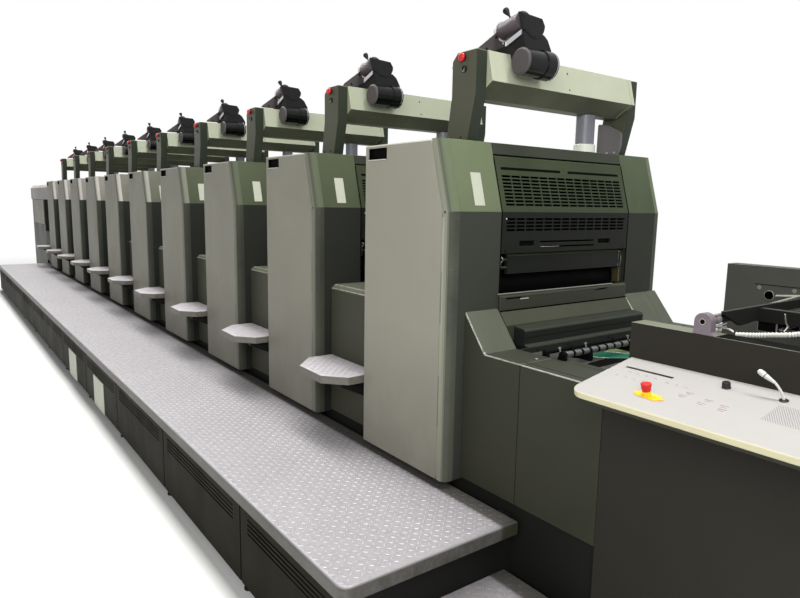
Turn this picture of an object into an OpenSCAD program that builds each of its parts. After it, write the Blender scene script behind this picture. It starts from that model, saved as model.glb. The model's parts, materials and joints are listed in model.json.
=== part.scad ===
/* [Line] */
// Distance from one printing unit to the next
unit_pitch = 1200; // [1160:10:1260]
// Width across the press, over the side covers of a unit
unit_width = 1600; // [1560:10:1700]
// Length of a unit along the press
unit_length = 681; // [661:1:701]
// Height of the machine base that the units stand on
base_height = 540; // [500:5:600]
// Height of a unit above the machine base
unit_height = 1565; // [1530:5:1600]
// How far the top of the leaning front is set back
setback = 90; // [70:1:110]

/* [Unit] */
// Width of the side housing of a unit
housing_width = 310; // [290:5:330]
// Thickness of a side door
door_thickness = 30; // [26:1:34]
// Gap round a side door
door_gap = 8; // [8:1:10]
// Width of the rounded corner strip beside the door
strip_width = 53; // [45:1:60]
// Radius of the corner strip's rounded edge
strip_radius = 33; // [20:1:40]
// Thickness of the swinging front guard
guard_thickness = 14; // [12:1:18]
// Height of the upright part of the guard, up to the bend in the front
guard_height = 194; // [186:1:200]
// Height of the nip under the guard, over the transfer housings
nip_height = 264; // [250:1:275]
// Length of the fixed strip over the guard, down the leaning front
top_strip = 61; // [54:1:70]
// Rows of slots in the upper grille
grille_rows = 9; // [6:1:9]
// Columns of slots in the grilles of the first unit
grille_columns = 14; // [7:1:16]
// Radius of the cylinder that shows under the guard
cylinder_radius = 90; // [80:1:95]

/* [Between the units] */
// Height of the transfer housings above the base
transfer_height = 788; // [760:1:800]
// How far the transfer housings stand back from the side doors
transfer_inset = 100; // [90:5:120]
// Height of the step plates above the base
step_height = 361; // [330:1:400]
// Thickness of a step plate
step_thickness = 47; // [40:1:55]
// Reach of a step plate outside the side doors
step_reach = 195; // [180:1:220]

/* [Gantry] */
// Height of the gantry beam's top above the units
beam_rise = 402; // [380:1:430]
// Height of the beam
beam_depth = 202; // [190:1:215]
// Thickness of a gantry post across the press
post_thickness = 67; // [60:1:75]
// Distance from the side doors to the outer face of the operator post
post_inset = 193; // [185:1:205]
// Travel of an ink carriage along its beam
carriage_travel = 640; // [400:10:660]
// Radius of the drum on an ink carriage, at its larger end
drum_radius = 65; // [58:1:68]
// Radius of the ink cartridge
cartridge_radius = 40; // [36:1:44]

/* [Gallery] */
// Width of the gallery outside the side doors
gallery_width = 778; // [700:5:850]
// Height of the gallery deck over the floor
gallery_height = 500; // [460:5:500]
// Height of the deck's edge flange
deck_edge = 60; // [50:1:70]
// Length of the gallery past the first unit's delivery side
gallery_end = 1070; // [1050:5:1090]
// Height of the lower step over the floor
lower_step_height = 250; // [220:5:280]
// Rows of louvre slots in a gallery panel
louvre_rows = 4; // [2:1:5]

/* [Feed table] */
// Distance from the unit's delivery side to the start of the feeder covers
feeder_start = 1440; // [1430:1:1480]
// Height of the feed table's side covers above the base
table_cover_height = 626; // [610:1:640]
// Width of the side covers beside the feed table
table_cover_width = 250; // [240:5:260]
// Height of the feed table above the base
table_height = 600; // [580:1:605]

/* [Feeder] */
// Length of the feeder along the press
feeder_length = 1860; // [1700:10:2000]
// Height of the operator wall of the feeder above the base
feeder_wall_height = 886; // [860:1:900]
// Length of the console board
console_length = 1150; // [1000:10:1200]
// Thickness of the console board
console_thickness = 40; // [34:1:46]

/* [Delivery] */
// Length of the delivery beyond the last unit
delivery_length = 3000; // [2700:10:3200]
// How far the top of the delivery is below the tops of the units
delivery_drop = 35; // [0:5:60]

/* [Hidden] */
$fn = 48;

unit_count = 10;
// Running clearance of a pin in its bore
pin_clearance = 0.05;
// Clearance of a piece that slides or sits on another
slide_clearance = 0.3;
// Small length by which a cutting shape passes the face it cuts
over = 1;

unit_gap = unit_pitch - unit_length;
guard_bottom = transfer_height + nip_height;
break_height = guard_bottom + guard_height;
last_unit_x = -(unit_count - 1) * unit_pitch;
press_far_x = last_unit_x - delivery_length;
press_near_x = feeder_start + feeder_length;
lean = atan(setback / (unit_height - break_height));
lean_length = (unit_height - break_height) / cos(lean);
drive_side = unit_width - housing_width;
guard_rise = lean_length - top_strip;
beam_top = unit_height + beam_rise;
delivery_height = unit_height - delivery_drop;

// Colours, from the photograph
cover_grey = [0.50, 0.50, 0.46];
front_grey = [0.34, 0.36, 0.34];
dark_grey = [0.22, 0.23, 0.21];
black = [0.07, 0.07, 0.07];
cream = [0.90, 0.88, 0.82];
plate_metal = [0.66, 0.66, 0.68];
stop_red = [0.78, 0.12, 0.10];

// Moves the press so that the centre of its footprint is the origin
module placed() {
    translate([-(press_far_x + press_near_x) / 2, -(unit_width - gallery_width) / 2, 0]) children();
}

// Puts a child at unit number i, with Z from the top of the machine base
module at_unit(i) {
    translate([-(i - 1) * unit_pitch, 0, base_height]) children();
}

module each_unit(first = 1) {
    for (i = [first:unit_count]) at_unit(i) children();
}

// Both sides of the press, the second mirrored across its centre line
module both_sides() {
    children();
    translate([0, unit_width, 0]) mirror([0, 1, 0]) children();
}

// A side profile in X and Z, carried across the press from y0 to y1
module across(y0, y1) {
    translate([0, y1, 0]) rotate([90, 0, 0]) linear_extrude(y1 - y0) children();
}

// A cross-section in Y and Z, carried along the press from x0 to x1
module along(x0, x1) {
    translate([x0, 0, 0]) rotate([90, 0, 90]) linear_extrude(x1 - x0) children();
}

module block(low, high) {
    translate(low) cube(high - low);
}

// A round bar across the press from y0 to y1
module bar_across(x, z, r, y0, y1) {
    translate([x, y1, z]) rotate([90, 0, 0]) cylinder(r = r, h = y1 - y0);
}

// Height of the bend in the front, and X of its top, at a depth behind the front face
function break_at(inset) = break_height - inset * tan(lean / 2);
function top_at(inset) = unit_length - setback - inset / cos(lean);
// A point on the leaning front, at a distance up from the bend and a depth behind the face
function lean_point(rise, inset) = [
    unit_length - rise * sin(lean) - inset * cos(lean),
    break_height + rise * cos(lean) - inset * sin(lean)
];

// Side profile of a unit: upright back, upright and then leaning front
module unit_profile(x_back, z_low, z_high, inset) {
    x_high = top_at(inset) + (unit_height - z_high) * tan(lean);
    polygon([
        [x_back, z_low], [unit_length - inset, z_low], [unit_length - inset, break_at(inset)],
        [x_high, z_high], [x_back, z_high]
    ]);
}

// Side doors, each on a long hinge in the gap beside the corner strip
door_bottom = 0;
door_far = 4;
door_top = unit_height - 4;
door_inset = strip_width + door_gap;
housing_face = door_thickness + door_gap;
knuckle_radius = 3;
hinge_x = unit_length - strip_width - door_gap / 2;
hinge_y = knuckle_radius;
hinge_pin_radius = 1.6;
hinge_web = 2;
hinge_low = 20;
knuckle_length = 240;
knuckle_gap = 1;
grip_low = unit_height - 75;
grip_high = unit_height - 19;
grip_from = 28;
grip_to = 190;
grip_depth = 22;

// Front guard and its hinge
guard_low_side = housing_width + 5;
guard_high_side = drive_side - 5;
guard_hinge = lean_point(guard_rise - guard_thickness / 2, guard_thickness / 2);
guard_pin_radius = guard_thickness / 2 - 2;
guard_pin_length = 12;
guard_space = 60;
grille_side = 34;
slot_length_share = 0.88;

// Knuckle number n of the door's hinge, joined to what stands at x_joined
module knuckle(n, x_joined) {
    z = hinge_low + n * knuckle_length;
    length = knuckle_length - knuckle_gap;
    translate([hinge_x, hinge_y, z]) cylinder(r = knuckle_radius, h = length);
    block([min(hinge_x, x_joined), hinge_y - hinge_web / 2, z],
        [max(hinge_x, x_joined), hinge_y + hinge_web / 2, z + length]);
}

module housing_shell() {
    across(strip_width, housing_width) unit_profile(0, 0, unit_height, 0);
    across(housing_face, strip_width + over) unit_profile(0, 0, unit_height, strip_width);
}

// Bores in the inner side of a housing for the guard's hinge pins
module guard_bore(y0, y1) {
    bar_across(guard_hinge[0], guard_hinge[1], guard_pin_radius + pin_clearance, y0, y1);
}

module operator_housings() {
    color(front_grey) placed() each_unit() difference() {
        housing_shell();
        guard_bore(housing_width - guard_pin_length, housing_width + over);
    }
}

module drive_housings() {
    color(front_grey) placed() each_unit() {
        difference() {
            translate([0, unit_width, 0]) mirror([0, 1, 0]) {
                housing_shell();
                across(0, housing_face + over) unit_profile(door_far, 0, door_top, strip_width + door_gap);
            }
            guard_bore(drive_side - over, drive_side + guard_pin_length);
        }
    }
}

// Plan of the corner strip, measured in from the front face and from the side face
module strip_section(inset) {
    r = strip_radius - inset;
    arc = [for (a = [0:15:90]) [-strip_radius + r * sin(a), strip_radius - r * cos(a)]];
    polygon(concat(arc, [[-inset, strip_width], [-strip_width, strip_width], [-strip_width, inset]]));
}

// Half-space above or below the mitre at the bend, from a height past the mitre
module mitre_block(side, start) {
    size = 4 * unit_height;
    translate([unit_length, 0, break_height]) rotate([0, -lean / 2, 0])
        translate([-size / 2, -size / 2, side > 0 ? start : start - size]) cube(size);
}

// The upper length is a hair slimmer, and its foot laps into the lower one
module corner_strip() {
    hair = 0.2;
    intersection() {
        translate([unit_length, 0, 0]) linear_extrude(break_height + strip_width) strip_section(0);
        mitre_block(-1, 0);
    }
    intersection() {
        translate([unit_length, 0, break_height]) rotate([0, -lean, 0])
            translate([0, 0, -strip_width]) linear_extrude(lean_length + 2 * strip_width) strip_section(hair);
        mitre_block(1, -hair);
        block([-over, -over, 0], [unit_length + over, strip_width + over, unit_height]);
    }
}

// Strips on both sides; the operator one carries every second knuckle of the door's hinge
module corner_strips() {
    color(cover_grey) placed() each_unit() {
        both_sides() corner_strip();
        difference() {
            for (n = [1, 3]) knuckle(n, unit_length - strip_width + over);
            translate([hinge_x, hinge_y, 0])
                cylinder(r = hinge_pin_radius + pin_clearance, h = break_height);
        }
    }
}

module unit_cores() {
    recess = 281;
    opening_top = guard_bottom + 8;
    core_top = unit_height - 40;
    x_high = top_at(guard_space) + (unit_height - core_top) * tan(lean);
    color(black) placed() each_unit() across(housing_width, drive_side) polygon([
        [20, 0], [unit_length, 0], [unit_length, transfer_height],
        [unit_length - recess, transfer_height], [unit_length - recess, opening_top],
        [unit_length - guard_space, opening_top], [unit_length - guard_space, break_at(guard_space)],
        [x_high, core_top], [20, core_top]
    ]);
}

// Top cover with its front strip over the guard and a raised rib round two lids
module unit_top_covers() {
    strip_start = guard_rise + 6;
    cover_depth = 40;
    rib = 6;
    lid_gap = 40;
    x_high = top_at(guard_space) + cover_depth * tan(lean);
    color(front_grey) placed() each_unit() difference() {
        across(housing_width, drive_side) polygon([
            [0, unit_height - cover_depth], [x_high, unit_height - cover_depth],
            lean_point(strip_start, 20), lean_point(strip_start, 0),
            [unit_length - setback, unit_height], [0, unit_height]
        ]);
        for (x = [lid_gap, unit_length / 2 - lid_gap]) block(
            [x, housing_width + lid_gap, unit_height - rib],
            [x + rib, drive_side - lid_gap, unit_height + over]);
        for (y = [housing_width + lid_gap, drive_side - lid_gap - rib]) block(
            [lid_gap, y, unit_height - rib],
            [unit_length / 2 - lid_gap + rib, y + rib, unit_height + over]);
    }
}

// Slots across the upper grille and the two long slots over it, in the leaning frame
grille_y0 = housing_width + grille_side;
grille_y1 = drive_side - grille_side;
grille_margin = 8;
slot_pitch = 17;
upper_low = 22;
upper_first = 30;
upper_high = guard_rise - 45;
long_slot_rise = 20;
upper_pitch = (upper_high - upper_first - 42) / grille_rows;
slot_height_share = 0.63;
lower_first = break_height - 90;
lower_rows = 4;
lower_low = lower_first - grille_margin;
lower_high = lower_first + lower_rows * slot_pitch;
plate_thickness = 4;

module slot_field(columns, rows, first, rise) {
    pitch = (grille_y1 - grille_y0) / columns;
    for (row = [0:rows - 1]) for (column = [0:columns - 1])
        translate([-2 * guard_thickness, grille_y0 + column * pitch, first + row * rise])
            cube([3 * guard_thickness, pitch * slot_length_share, rise * slot_height_share]);
}

// Window in the guard that a grille plate fills, in either frame
module grille_window(depth_front, depth_back, low, high) {
    block([-depth_back, grille_y0 - grille_margin, low], [depth_front, grille_y1 + grille_margin, high]);
}

module on_lean() {
    translate([unit_length, 0, break_height]) rotate([0, -lean, 0]) children();
}

module on_upright() {
    translate([unit_length, 0, 0]) children();
}

// Punched plates of the guard: the upper one leans, the lower one is upright
module guard_grilles(columns) {
    span = grille_y1 - grille_y0;
    on_lean() difference() {
        grille_window(0, plate_thickness, upper_low, upper_high);
        slot_field(columns, grille_rows, upper_first, upper_pitch);
        for (y = [grille_y0, grille_y0 + span * 0.53])
            translate([-2 * guard_thickness, y, upper_high - long_slot_rise])
                cube([3 * guard_thickness, span * 0.46, 7]);
    }
    on_upright() difference() {
        grille_window(0, plate_thickness, lower_low, lower_high);
        slot_field(columns, lower_rows, lower_first, slot_pitch);
    }
}

// Bent plate of the guard with its windows, handle pockets and hinge pins
module guard_plate() {
    face_top = lean_point(guard_rise - guard_thickness / 2, 0);
    back_top = lean_point(guard_rise - guard_thickness / 2, guard_thickness);
    pocket_floor = 3;
    pocket_low = guard_bottom + 32;
    pocket_length = 104;
    slot_from = 578;
    slot_to = 999;
    difference() {
        union() {
            across(guard_low_side, guard_high_side) polygon([
                [unit_length - guard_thickness, guard_bottom], [unit_length, guard_bottom],
                [unit_length, break_height], face_top, back_top,
                [unit_length - guard_thickness, break_at(guard_thickness)]
            ]);
            bar_across(guard_hinge[0], guard_hinge[1], guard_thickness / 2, guard_low_side, guard_high_side);
            bar_across(guard_hinge[0], guard_hinge[1], guard_pin_radius,
                housing_width - guard_pin_length + 2, drive_side + guard_pin_length - 2);
        }
        on_lean() grille_window(over, 2 * guard_thickness, upper_low, upper_high);
        on_upright() grille_window(over, 2 * guard_thickness, lower_low, lower_high);
        on_upright() {
            for (z = [guard_bottom + 21, guard_bottom + 46])
                block([-2 * guard_thickness, slot_from, z], [over, slot_to, z + 9]);
            for (y = [slot_from - pocket_length - 40, slot_to + 33])
                block([pocket_floor - guard_thickness, y, pocket_low], [over, y + pocket_length, pocket_low + 26]);
        }
    }
}

module first_unit_guard() {
    color(dark_grey) placed() at_unit(1) guard_plate();
}

module first_unit_grilles() {
    color(dark_grey) placed() at_unit(1) guard_grilles(grille_columns);
}

// The like guards of the other units, with fewer and longer slots
module unit_guards() {
    color(dark_grey) placed() each_unit(2) {
        guard_plate();
        guard_grilles(floor(grille_columns / 4));
    }
}

// Flat bar that guards the nip below the swinging guard
module guard_bars() {
    bar_low = guard_bottom - 101;
    bar_high = guard_bottom - 4;
    bar_back = 42;
    bar_thickness = 24;
    color(dark_grey) placed() each_unit() {
        across(housing_width + 68, drive_side - 40) polygon([
            [unit_length - bar_back, bar_low], [unit_length - bar_back + bar_thickness, bar_low],
            [unit_length - bar_back + bar_thickness, bar_high - 10],
            [unit_length - bar_back + bar_thickness - 8, bar_high], [unit_length - bar_back, bar_high]
        ]);
        for (z = [bar_low + 30, bar_high - 30])
            bar_across(unit_length - bar_back + bar_thickness / 2, z, 8, housing_width, drive_side);
    }
}

// Blanket cylinder with its bearer rings and journals
module printing_cylinders() {
    x = unit_length - 155;
    z = transfer_height + cylinder_radius + 14;
    ring = 22;
    groove = 8;
    color(black) placed() each_unit() {
        bar_across(x, z, cylinder_radius, housing_width + 20 + ring + groove,
            drive_side - 20 - ring - groove);
        for (y = [housing_width + 20, drive_side - 20 - ring])
            bar_across(x, z, cylinder_radius - 2, y, y + ring);
        bar_across(x, z, cylinder_radius / 2, housing_width, drive_side);
    }
}

module side_door() {
    difference() {
        across(0, door_thickness) unit_profile(door_far, door_bottom, door_top, door_inset);
        block([grip_from, -over, grip_low], [grip_to, grip_depth, grip_high]);
    }
    for (n = [0, 2, 4]) knuckle(n, unit_length - door_inset - over);
    translate([hinge_x, hinge_y, hinge_low])
        cylinder(r = hinge_pin_radius, h = 5 * knuckle_length - knuckle_gap);
}

module side_door_at(i) {
    color(cover_grey) placed() at_unit(i) side_door();
}

module side_door_01() { side_door_at(1); }
module side_door_02() { side_door_at(2); }
module side_door_03() { side_door_at(3); }
module side_door_04() { side_door_at(4); }
module side_door_05() { side_door_at(5); }
module side_door_06() { side_door_at(6); }
module side_door_07() { side_door_at(7); }
module side_door_08() { side_door_at(8); }
module side_door_09() { side_door_at(9); }
module side_door_10() { side_door_at(10); }

// Delivery: a closed conveyor housing, then the frame round the pile bay
conveyor_length = 1240;
delivery_post = 300;
hood_depth = 300;
delivery_near = last_unit_x - unit_gap;
delivery_mid = last_unit_x - conveyor_length;
bay_near = delivery_mid - delivery_post;
hood_low = delivery_height - hood_depth;

// Machine base: a long plinth set back under the covers, on the floor
base_inset = 130;
module machine_base() {
    color(black) placed() block([bay_near, base_inset, 0],
        [feeder_start, unit_width - base_inset, base_height]);
}

module transfer_housings() {
    chamfer = 24;
    low_y = transfer_inset;
    high_y = unit_width - transfer_inset;
    color(dark_grey) placed() each_unit() along(-unit_gap, 0) polygon([
        [low_y, 8], [high_y, 8], [high_y, transfer_height - chamfer],
        [high_y - chamfer, transfer_height], [low_y + chamfer, transfer_height],
        [low_y, transfer_height - chamfer]
    ]);
}

// Cast step with a raised rim under its tread
module step_plates() {
    near = -8;
    far = -unit_gap + 8;
    cut = step_reach - 60;
    color(plate_metal) placed() each_unit() difference() {
        translate([0, 0, step_height - step_thickness]) linear_extrude(step_thickness) polygon([
            [far, transfer_inset], [far, -step_reach + cut], [far + cut, -step_reach + 5],
            [near - 112, -step_reach], [near, -90], [near, transfer_inset]
        ]);
        block([far + 30, transfer_inset - 120, step_height - step_thickness - over],
            [near - 30, transfer_inset - 20, step_height - 12]);
    }
}

module step_brackets() {
    color(black) placed() each_unit()
        for (x = [-unit_gap + 60, -110]) step_bracket(x);
}

module step_bracket(x) {
    foot = step_height - step_thickness;
    along(x, x + 50) polygon([
        [transfer_inset - 20, foot - 110], [transfer_inset, foot - 110],
        [transfer_inset, foot], [-step_reach + 90, foot], [-step_reach + 90, foot - 24]
    ]);
}

// Place of the ink carriage at rest, and the rail under it
carriage_low = 400;
carriage_high = 560;
rail_x = 510;
rail_width = 30;
rail_height = 10;
rail_end = 20;

// Gantry over the unit
knee_height = unit_height + 205;
post_back = 436;
beam_back = post_back + 14;
beam_face_top = beam_back + 150;
beam_face_mid = beam_face_top + 35;
post_side = post_inset + post_thickness;

module post_profile() {
    polygon([
        [post_back - 33, unit_height], [post_back + 115, unit_height], [beam_face_top, knee_height],
        [beam_face_top, beam_top], [post_back + 35, beam_top], [post_back, beam_top - 36],
        [post_back, knee_height]
    ]);
}

module gantry_posts() {
    color(dark_grey) placed() each_unit() both_sides() across(post_inset, post_side) post_profile();
}

// Section of the beam, with its faces proud by a thickness
module beam_section(proud) {
    low = beam_top - beam_depth;
    polygon([
        [beam_back, low], [beam_face_top - 65 + proud, low], [beam_face_mid + proud, low + 65],
        [beam_face_top + proud, beam_top], [beam_back, beam_top]
    ]);
}

// Beam with an end plate at each post and the rail that the ink carriage runs on
module gantry_beams() {
    end_width = 28;
    end_proud = 3;
    color(cream) placed() each_unit() {
        across(post_side, unit_width - post_side) beam_section(0);
        both_sides() across(post_side, post_side + end_width) beam_section(end_proud);
        block([rail_x, carriage_low - rail_end, beam_top - over],
            [rail_x + rail_width, carriage_high + carriage_travel + rail_end, beam_top + rail_height]);
    }
}

// Bolted cover plate on the inner side of the drive post
module gantry_cover_plates() {
    inner = unit_width - post_side;
    plate = 18;
    rise = beam_rise - beam_depth;
    color(dark_grey) placed() each_unit() across(inner - plate, inner) polygon([
        [post_back - 20, unit_height], [post_back + 121, unit_height],
        [post_back + 138, unit_height + 0.29 * rise], [post_back + 138, unit_height + 0.58 * rise],
        [post_back + 130, unit_height + 0.65 * rise], [post_back + 64, unit_height + 0.83 * rise],
        [post_back - 10, unit_height + 0.9 * rise], [post_back - 18, unit_height + 0.86 * rise]
    ]);
}

module conduit_posts() {
    x = 503;
    y = unit_width - 500;
    tube_radius = 50;
    collar = 8;
    color(cover_grey) placed() each_unit() {
        translate([x, y, unit_height]) cylinder(r = tube_radius, h = beam_rise - beam_depth);
        translate([x, y, unit_height])
            cylinder(r = tube_radius + collar, h = (beam_rise - beam_depth) / 4);
    }
}

// Stop button and key switch on the outer face of the operator post, and a small knob on its back
module stop_buttons() {
    button_x = 516;
    button_z = beam_top - 29;
    key_x = 523;
    key_z = beam_top - 80;
    knob_z = beam_top - 59;
    color(stop_red) placed() each_unit() {
        bar_across(button_x, button_z, 12, post_inset - 9, post_inset);
        bar_across(button_x, button_z, 17, post_inset - 21, post_inset - 9);
        bar_across(key_x, key_z, 15, post_inset - 7, post_inset);
        translate([post_back - 12, post_inset + 16, knob_z]) rotate([0, 90, 0]) cylinder(r = 11, h = 12);
    }
}

// Ink carriage: saddle on the rail, arm in front of the beam with the cartridge over it, drum and knob
block_front = 690;
arm_low = 382;
cartridge_y = 455;
cartridge_z = beam_top + 128;
cartridge_back = 488;
drum_x = 702;
drum_z = beam_top - 50;
drum_low = 365;
drum_step = 490;
drum_high = 560;

module carriage_saddle() {
    seat = beam_top + slide_clearance;
    difference() {
        across(carriage_low, carriage_high) polygon([
            [beam_back + 12, seat], [beam_face_top, seat], [628, beam_top - 88], [645, beam_top - 88],
            [650, beam_top - 30], [640, beam_top + 40], [560, beam_top + 45], [beam_back + 20, beam_top + 30]
        ]);
        block([rail_x - slide_clearance, carriage_low - over, seat - over],
            [rail_x + rail_width + slide_clearance, carriage_high + over, seat + rail_height]);
    }
}

// Arm that carries the drum: its side slants over the beam, and its front widens towards the foot
module carriage_arm() {
    intersection() {
        across(arm_low - over, carriage_high + 30) polygon([
            [596, beam_top + 52], [block_front, beam_top + 92], [block_front, beam_top - 80],
            [650, beam_top - 95], [634, beam_top - 87], [610, beam_top - 3], [596, beam_top + 12]
        ]);
        along(0, unit_length + setback) polygon([
            [arm_low, beam_top + 100], [392, beam_top + 63], [404, beam_top + 27], [404, beam_top - 100],
            [560, beam_top - 100], [586, beam_top + 8], [583, beam_top + 27], [555, beam_top + 71],
            [525, beam_top + 92], [525, beam_top + 100]
        ]);
    }
}

// Round end plate of the cartridge, cut level at its top, with a corner towards the operator
module cartridge_end_plate() {
    cap_radius = 66;
    cap_y = cartridge_y + 7;
    plate_top = cartridge_z + 35;
    arc = [for (a = [210:15:360]) [cap_y + cap_radius * cos(a), cartridge_z + cap_radius * sin(a)]];
    along(block_front - 12, block_front + 3)
        polygon(concat([[cap_y - 104, plate_top]], arc, [[cap_y + 44, plate_top - 6]]));
}

// Cartridge lying along the press, in a clamp ring on its gusset, with a guard strip under it
module carriage_cartridge() {
    ring_thickness = 12;
    translate([cartridge_back, cartridge_y, cartridge_z]) rotate([0, 90, 0]) {
        cylinder(r = cartridge_radius, h = block_front - cartridge_back);
        cylinder(r = cartridge_radius + 7, h = ring_thickness);
    }
    along(cartridge_back + 1, cartridge_back + ring_thickness - 3) polygon([
        [290, beam_top + 18], [470, beam_top + 18], [475, cartridge_z], [417, cartridge_z - 4],
        [300, beam_top + 35]
    ]);
    across(arm_low - 6, arm_low + 12) polygon([
        [596, beam_top + 33], [block_front, beam_top + 70], [block_front, beam_top + 87], [596, beam_top + 52]
    ]);
}

// Motor drum in front of the arm, stepped to its larger end
module carriage_drum() {
    bar_across(drum_x, drum_z, drum_radius - 5, drum_low, drum_step + over);
    bar_across(drum_x, drum_z, drum_radius, drum_step, drum_high);
    bar_across(drum_x, drum_z, drum_radius - 12, drum_low - 4, drum_low + over);
}

// Cone-shaped knob on a rod that leans back from the top of the cartridge
module carriage_knob() {
    knob_radius = 14;
    translate([592, cartridge_y - 8, cartridge_z + cartridge_radius - 6]) rotate([0, -40, 0]) {
        cylinder(r = 4, h = 66);
        translate([0, 0, 62]) cylinder(r1 = 5, r2 = knob_radius, h = 34);
        translate([0, 0, 96]) cylinder(r = knob_radius, h = 6);
    }
}

module ink_carriage() {
    carriage_saddle();
    carriage_arm();
    cartridge_end_plate();
    carriage_cartridge();
    carriage_drum();
    carriage_knob();
}

module ink_carriage_at(i) {
    color(black) placed() at_unit(i) ink_carriage();
}

module ink_carriage_01() { ink_carriage_at(1); }
module ink_carriage_02() { ink_carriage_at(2); }
module ink_carriage_03() { ink_carriage_at(3); }
module ink_carriage_04() { ink_carriage_at(4); }
module ink_carriage_05() { ink_carriage_at(5); }
module ink_carriage_06() { ink_carriage_at(6); }
module ink_carriage_07() { ink_carriage_at(7); }
module ink_carriage_08() { ink_carriage_at(8); }
module ink_carriage_09() { ink_carriage_at(9); }
module ink_carriage_10() { ink_carriage_at(10); }

// Gallery along the operator side
deck_thickness = 8;
gallery_far = delivery_near - 480;
seam_x = 146;
deck_inner = 85;
panel_bottom = 50;
leg_inset = 20;
leg_size = 60;
foot_height = 40;
panel_thickness = 12;
louvre_side = 80;
louvre_pitch = 22;
louvre_top = gallery_height - deck_edge - 50;

// Section of a tread plate's folded edge, with its outer face at r and its top at the given height
module folded_edge(r, top, edge, fold) {
    inner = fold - deck_thickness;
    outside = [for (a = [0:15:90]) [r - fold + fold * cos(a), top - fold + fold * sin(a)]];
    inside = [for (a = [90:-30:0]) [r - fold + inner * cos(a), top - fold + inner * sin(a)]];
    polygon(concat([[r, top - edge]], outside, [[0, top], [0, top - deck_thickness]], inside,
        [[r - deck_thickness, top - edge]]));
}

// Tread plate folded down at its outer side and both ends, round at the two outer corners
module folded_plate(x0, x1, y0, y1, top, edge) {
    corner = 45;
    fold = 13;
    for (x = [x0 + corner, x1 - corner]) translate([x, y0 + corner, 0])
        rotate([0, 0, x > (x0 + x1) / 2 ? 270 : 180]) rotate_extrude(angle = 90)
            folded_edge(corner, top, edge, fold);
    translate([x0 + corner, y0 + corner, 0]) rotate([90, 0, 90]) linear_extrude(x1 - x0 - 2 * corner)
        mirror([1, 0, 0]) folded_edge(corner, top, edge, fold);
    translate([x0 + corner, y1, 0]) rotate([90, 0, 0]) linear_extrude(y1 - y0 - corner)
        mirror([1, 0, 0]) folded_edge(corner, top, edge, fold);
    translate([x1 - corner, y1, 0]) rotate([90, 0, 0]) linear_extrude(y1 - y0 - corner)
        folded_edge(corner, top, edge, fold);
    block([x0 + corner - over, y0 + corner - over, top - deck_thickness], [x1 - corner + over, y1, top]);
}

module gallery_deck() {
    color(plate_metal) placed()
        folded_plate(gallery_far, gallery_end, -gallery_width, deck_inner, gallery_height, deck_edge);
}

// Cross bearers with a leg at the outer side, one behind every panel seam
frame_first = -unit_count;
function seam_at(k) = k <= frame_first ? gallery_far + 70 : k > 0 ? gallery_end - 100 : seam_x + k * unit_pitch;

module gallery_frames() {
    leg_y = -gallery_width + leg_inset;
    color(black) placed() for (k = [frame_first:1]) {
        x = seam_at(k);
        block([x - leg_size / 2, leg_y, gallery_height - deck_edge - 60],
            [x + leg_size / 2, base_inset, gallery_height - deck_thickness]);
        block([x - leg_size / 2, leg_y, foot_height],
            [x + leg_size / 2, leg_y + leg_size, gallery_height - deck_edge - 60]);
        translate([x, leg_y + leg_size / 2, 0]) {
            cylinder(r = 26, h = 10);
            cylinder(r = 10, h = foot_height + over);
        }
    }
}

module gallery_side_panels() {
    y0 = -gallery_width + leg_inset - panel_thickness;
    color(dark_grey) placed() for (k = [frame_first:0]) {
        x0 = seam_at(k) + (k == frame_first ? -50 : 6);
        x1 = seam_at(k + 1) - (k == 0 ? -80 : 6);
        difference() {
            block([x0, y0, panel_bottom], [x1, y0 + panel_thickness, gallery_height - deck_edge]);
            for (row = [0:louvre_rows - 1])
                block([x0 + louvre_side, y0 - over, louvre_top - row * louvre_pitch],
                    [x1 - louvre_side, y0 + panel_thickness + over, louvre_top - row * louvre_pitch + 8]);
        }
    }
}

module gallery_end_panels() {
    y0 = -gallery_width + leg_inset + leg_size + 4;
    color(black) placed() for (x = [gallery_far + 40, gallery_end - 70 - panel_thickness])
        block([x, y0, 0], [x + panel_thickness, base_inset, gallery_height - deck_edge - 60]);
}

// Lower tread at the feeder end of the gallery
module lower_step() {
    x0 = gallery_end - 70;
    x1 = feeder_start - 20;
    y0 = -600;
    color(plate_metal) placed()
        folded_plate(x0, x1, y0, deck_inner, lower_step_height, lower_step_height);
}

// Feed table between the first unit and the feeder
feed_start = unit_length;
cheek_top = 797;
cheek_foot = 815;
seam_gap = 3;

module feed_side_covers() {
    y0 = transfer_inset;
    bottom = 8;
    middle = 1026;
    color(dark_grey) placed() translate([0, 0, base_height]) both_sides() {
        across(y0, y0 + table_cover_width - 45) polygon([
            [feed_start, bottom], [middle - seam_gap / 2, bottom],
            [middle - seam_gap / 2, table_cover_height], [cheek_foot, table_cover_height],
            [feed_start, cheek_top]
        ]);
        block([middle + seam_gap / 2, y0, bottom],
            [feeder_start - seam_gap, y0 + table_cover_width, table_cover_height]);
    }
}

module feed_table() {
    y0 = transfer_inset + table_cover_width;
    color(plate_metal) placed() translate([0, 0, base_height]) {
        difference() {
            block([feed_start, y0, 0], [feeder_start, unit_width - y0, table_height]);
            for (n = [0:5]) block(
                [900, y0 + 120 + n * 130, table_height - 6],
                [feeder_start + over, y0 + 124 + n * 130, table_height + over]);
        }
    }
}

module feed_slope_guards() {
    y0 = transfer_inset + table_cover_width - 45;
    color(dark_grey) placed() translate([0, 0, base_height])
        across(y0 + 3, unit_width - y0 - 3) polygon([
            [feed_start, table_height + 40], [feed_start + 60, table_height + 40],
            [feed_start + 60, table_height + 120], [feed_start + 14, transfer_height - 6],
            [feed_start + 14, transfer_height + 62], [feed_start, transfer_height + 74]
        ]);
}

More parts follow.
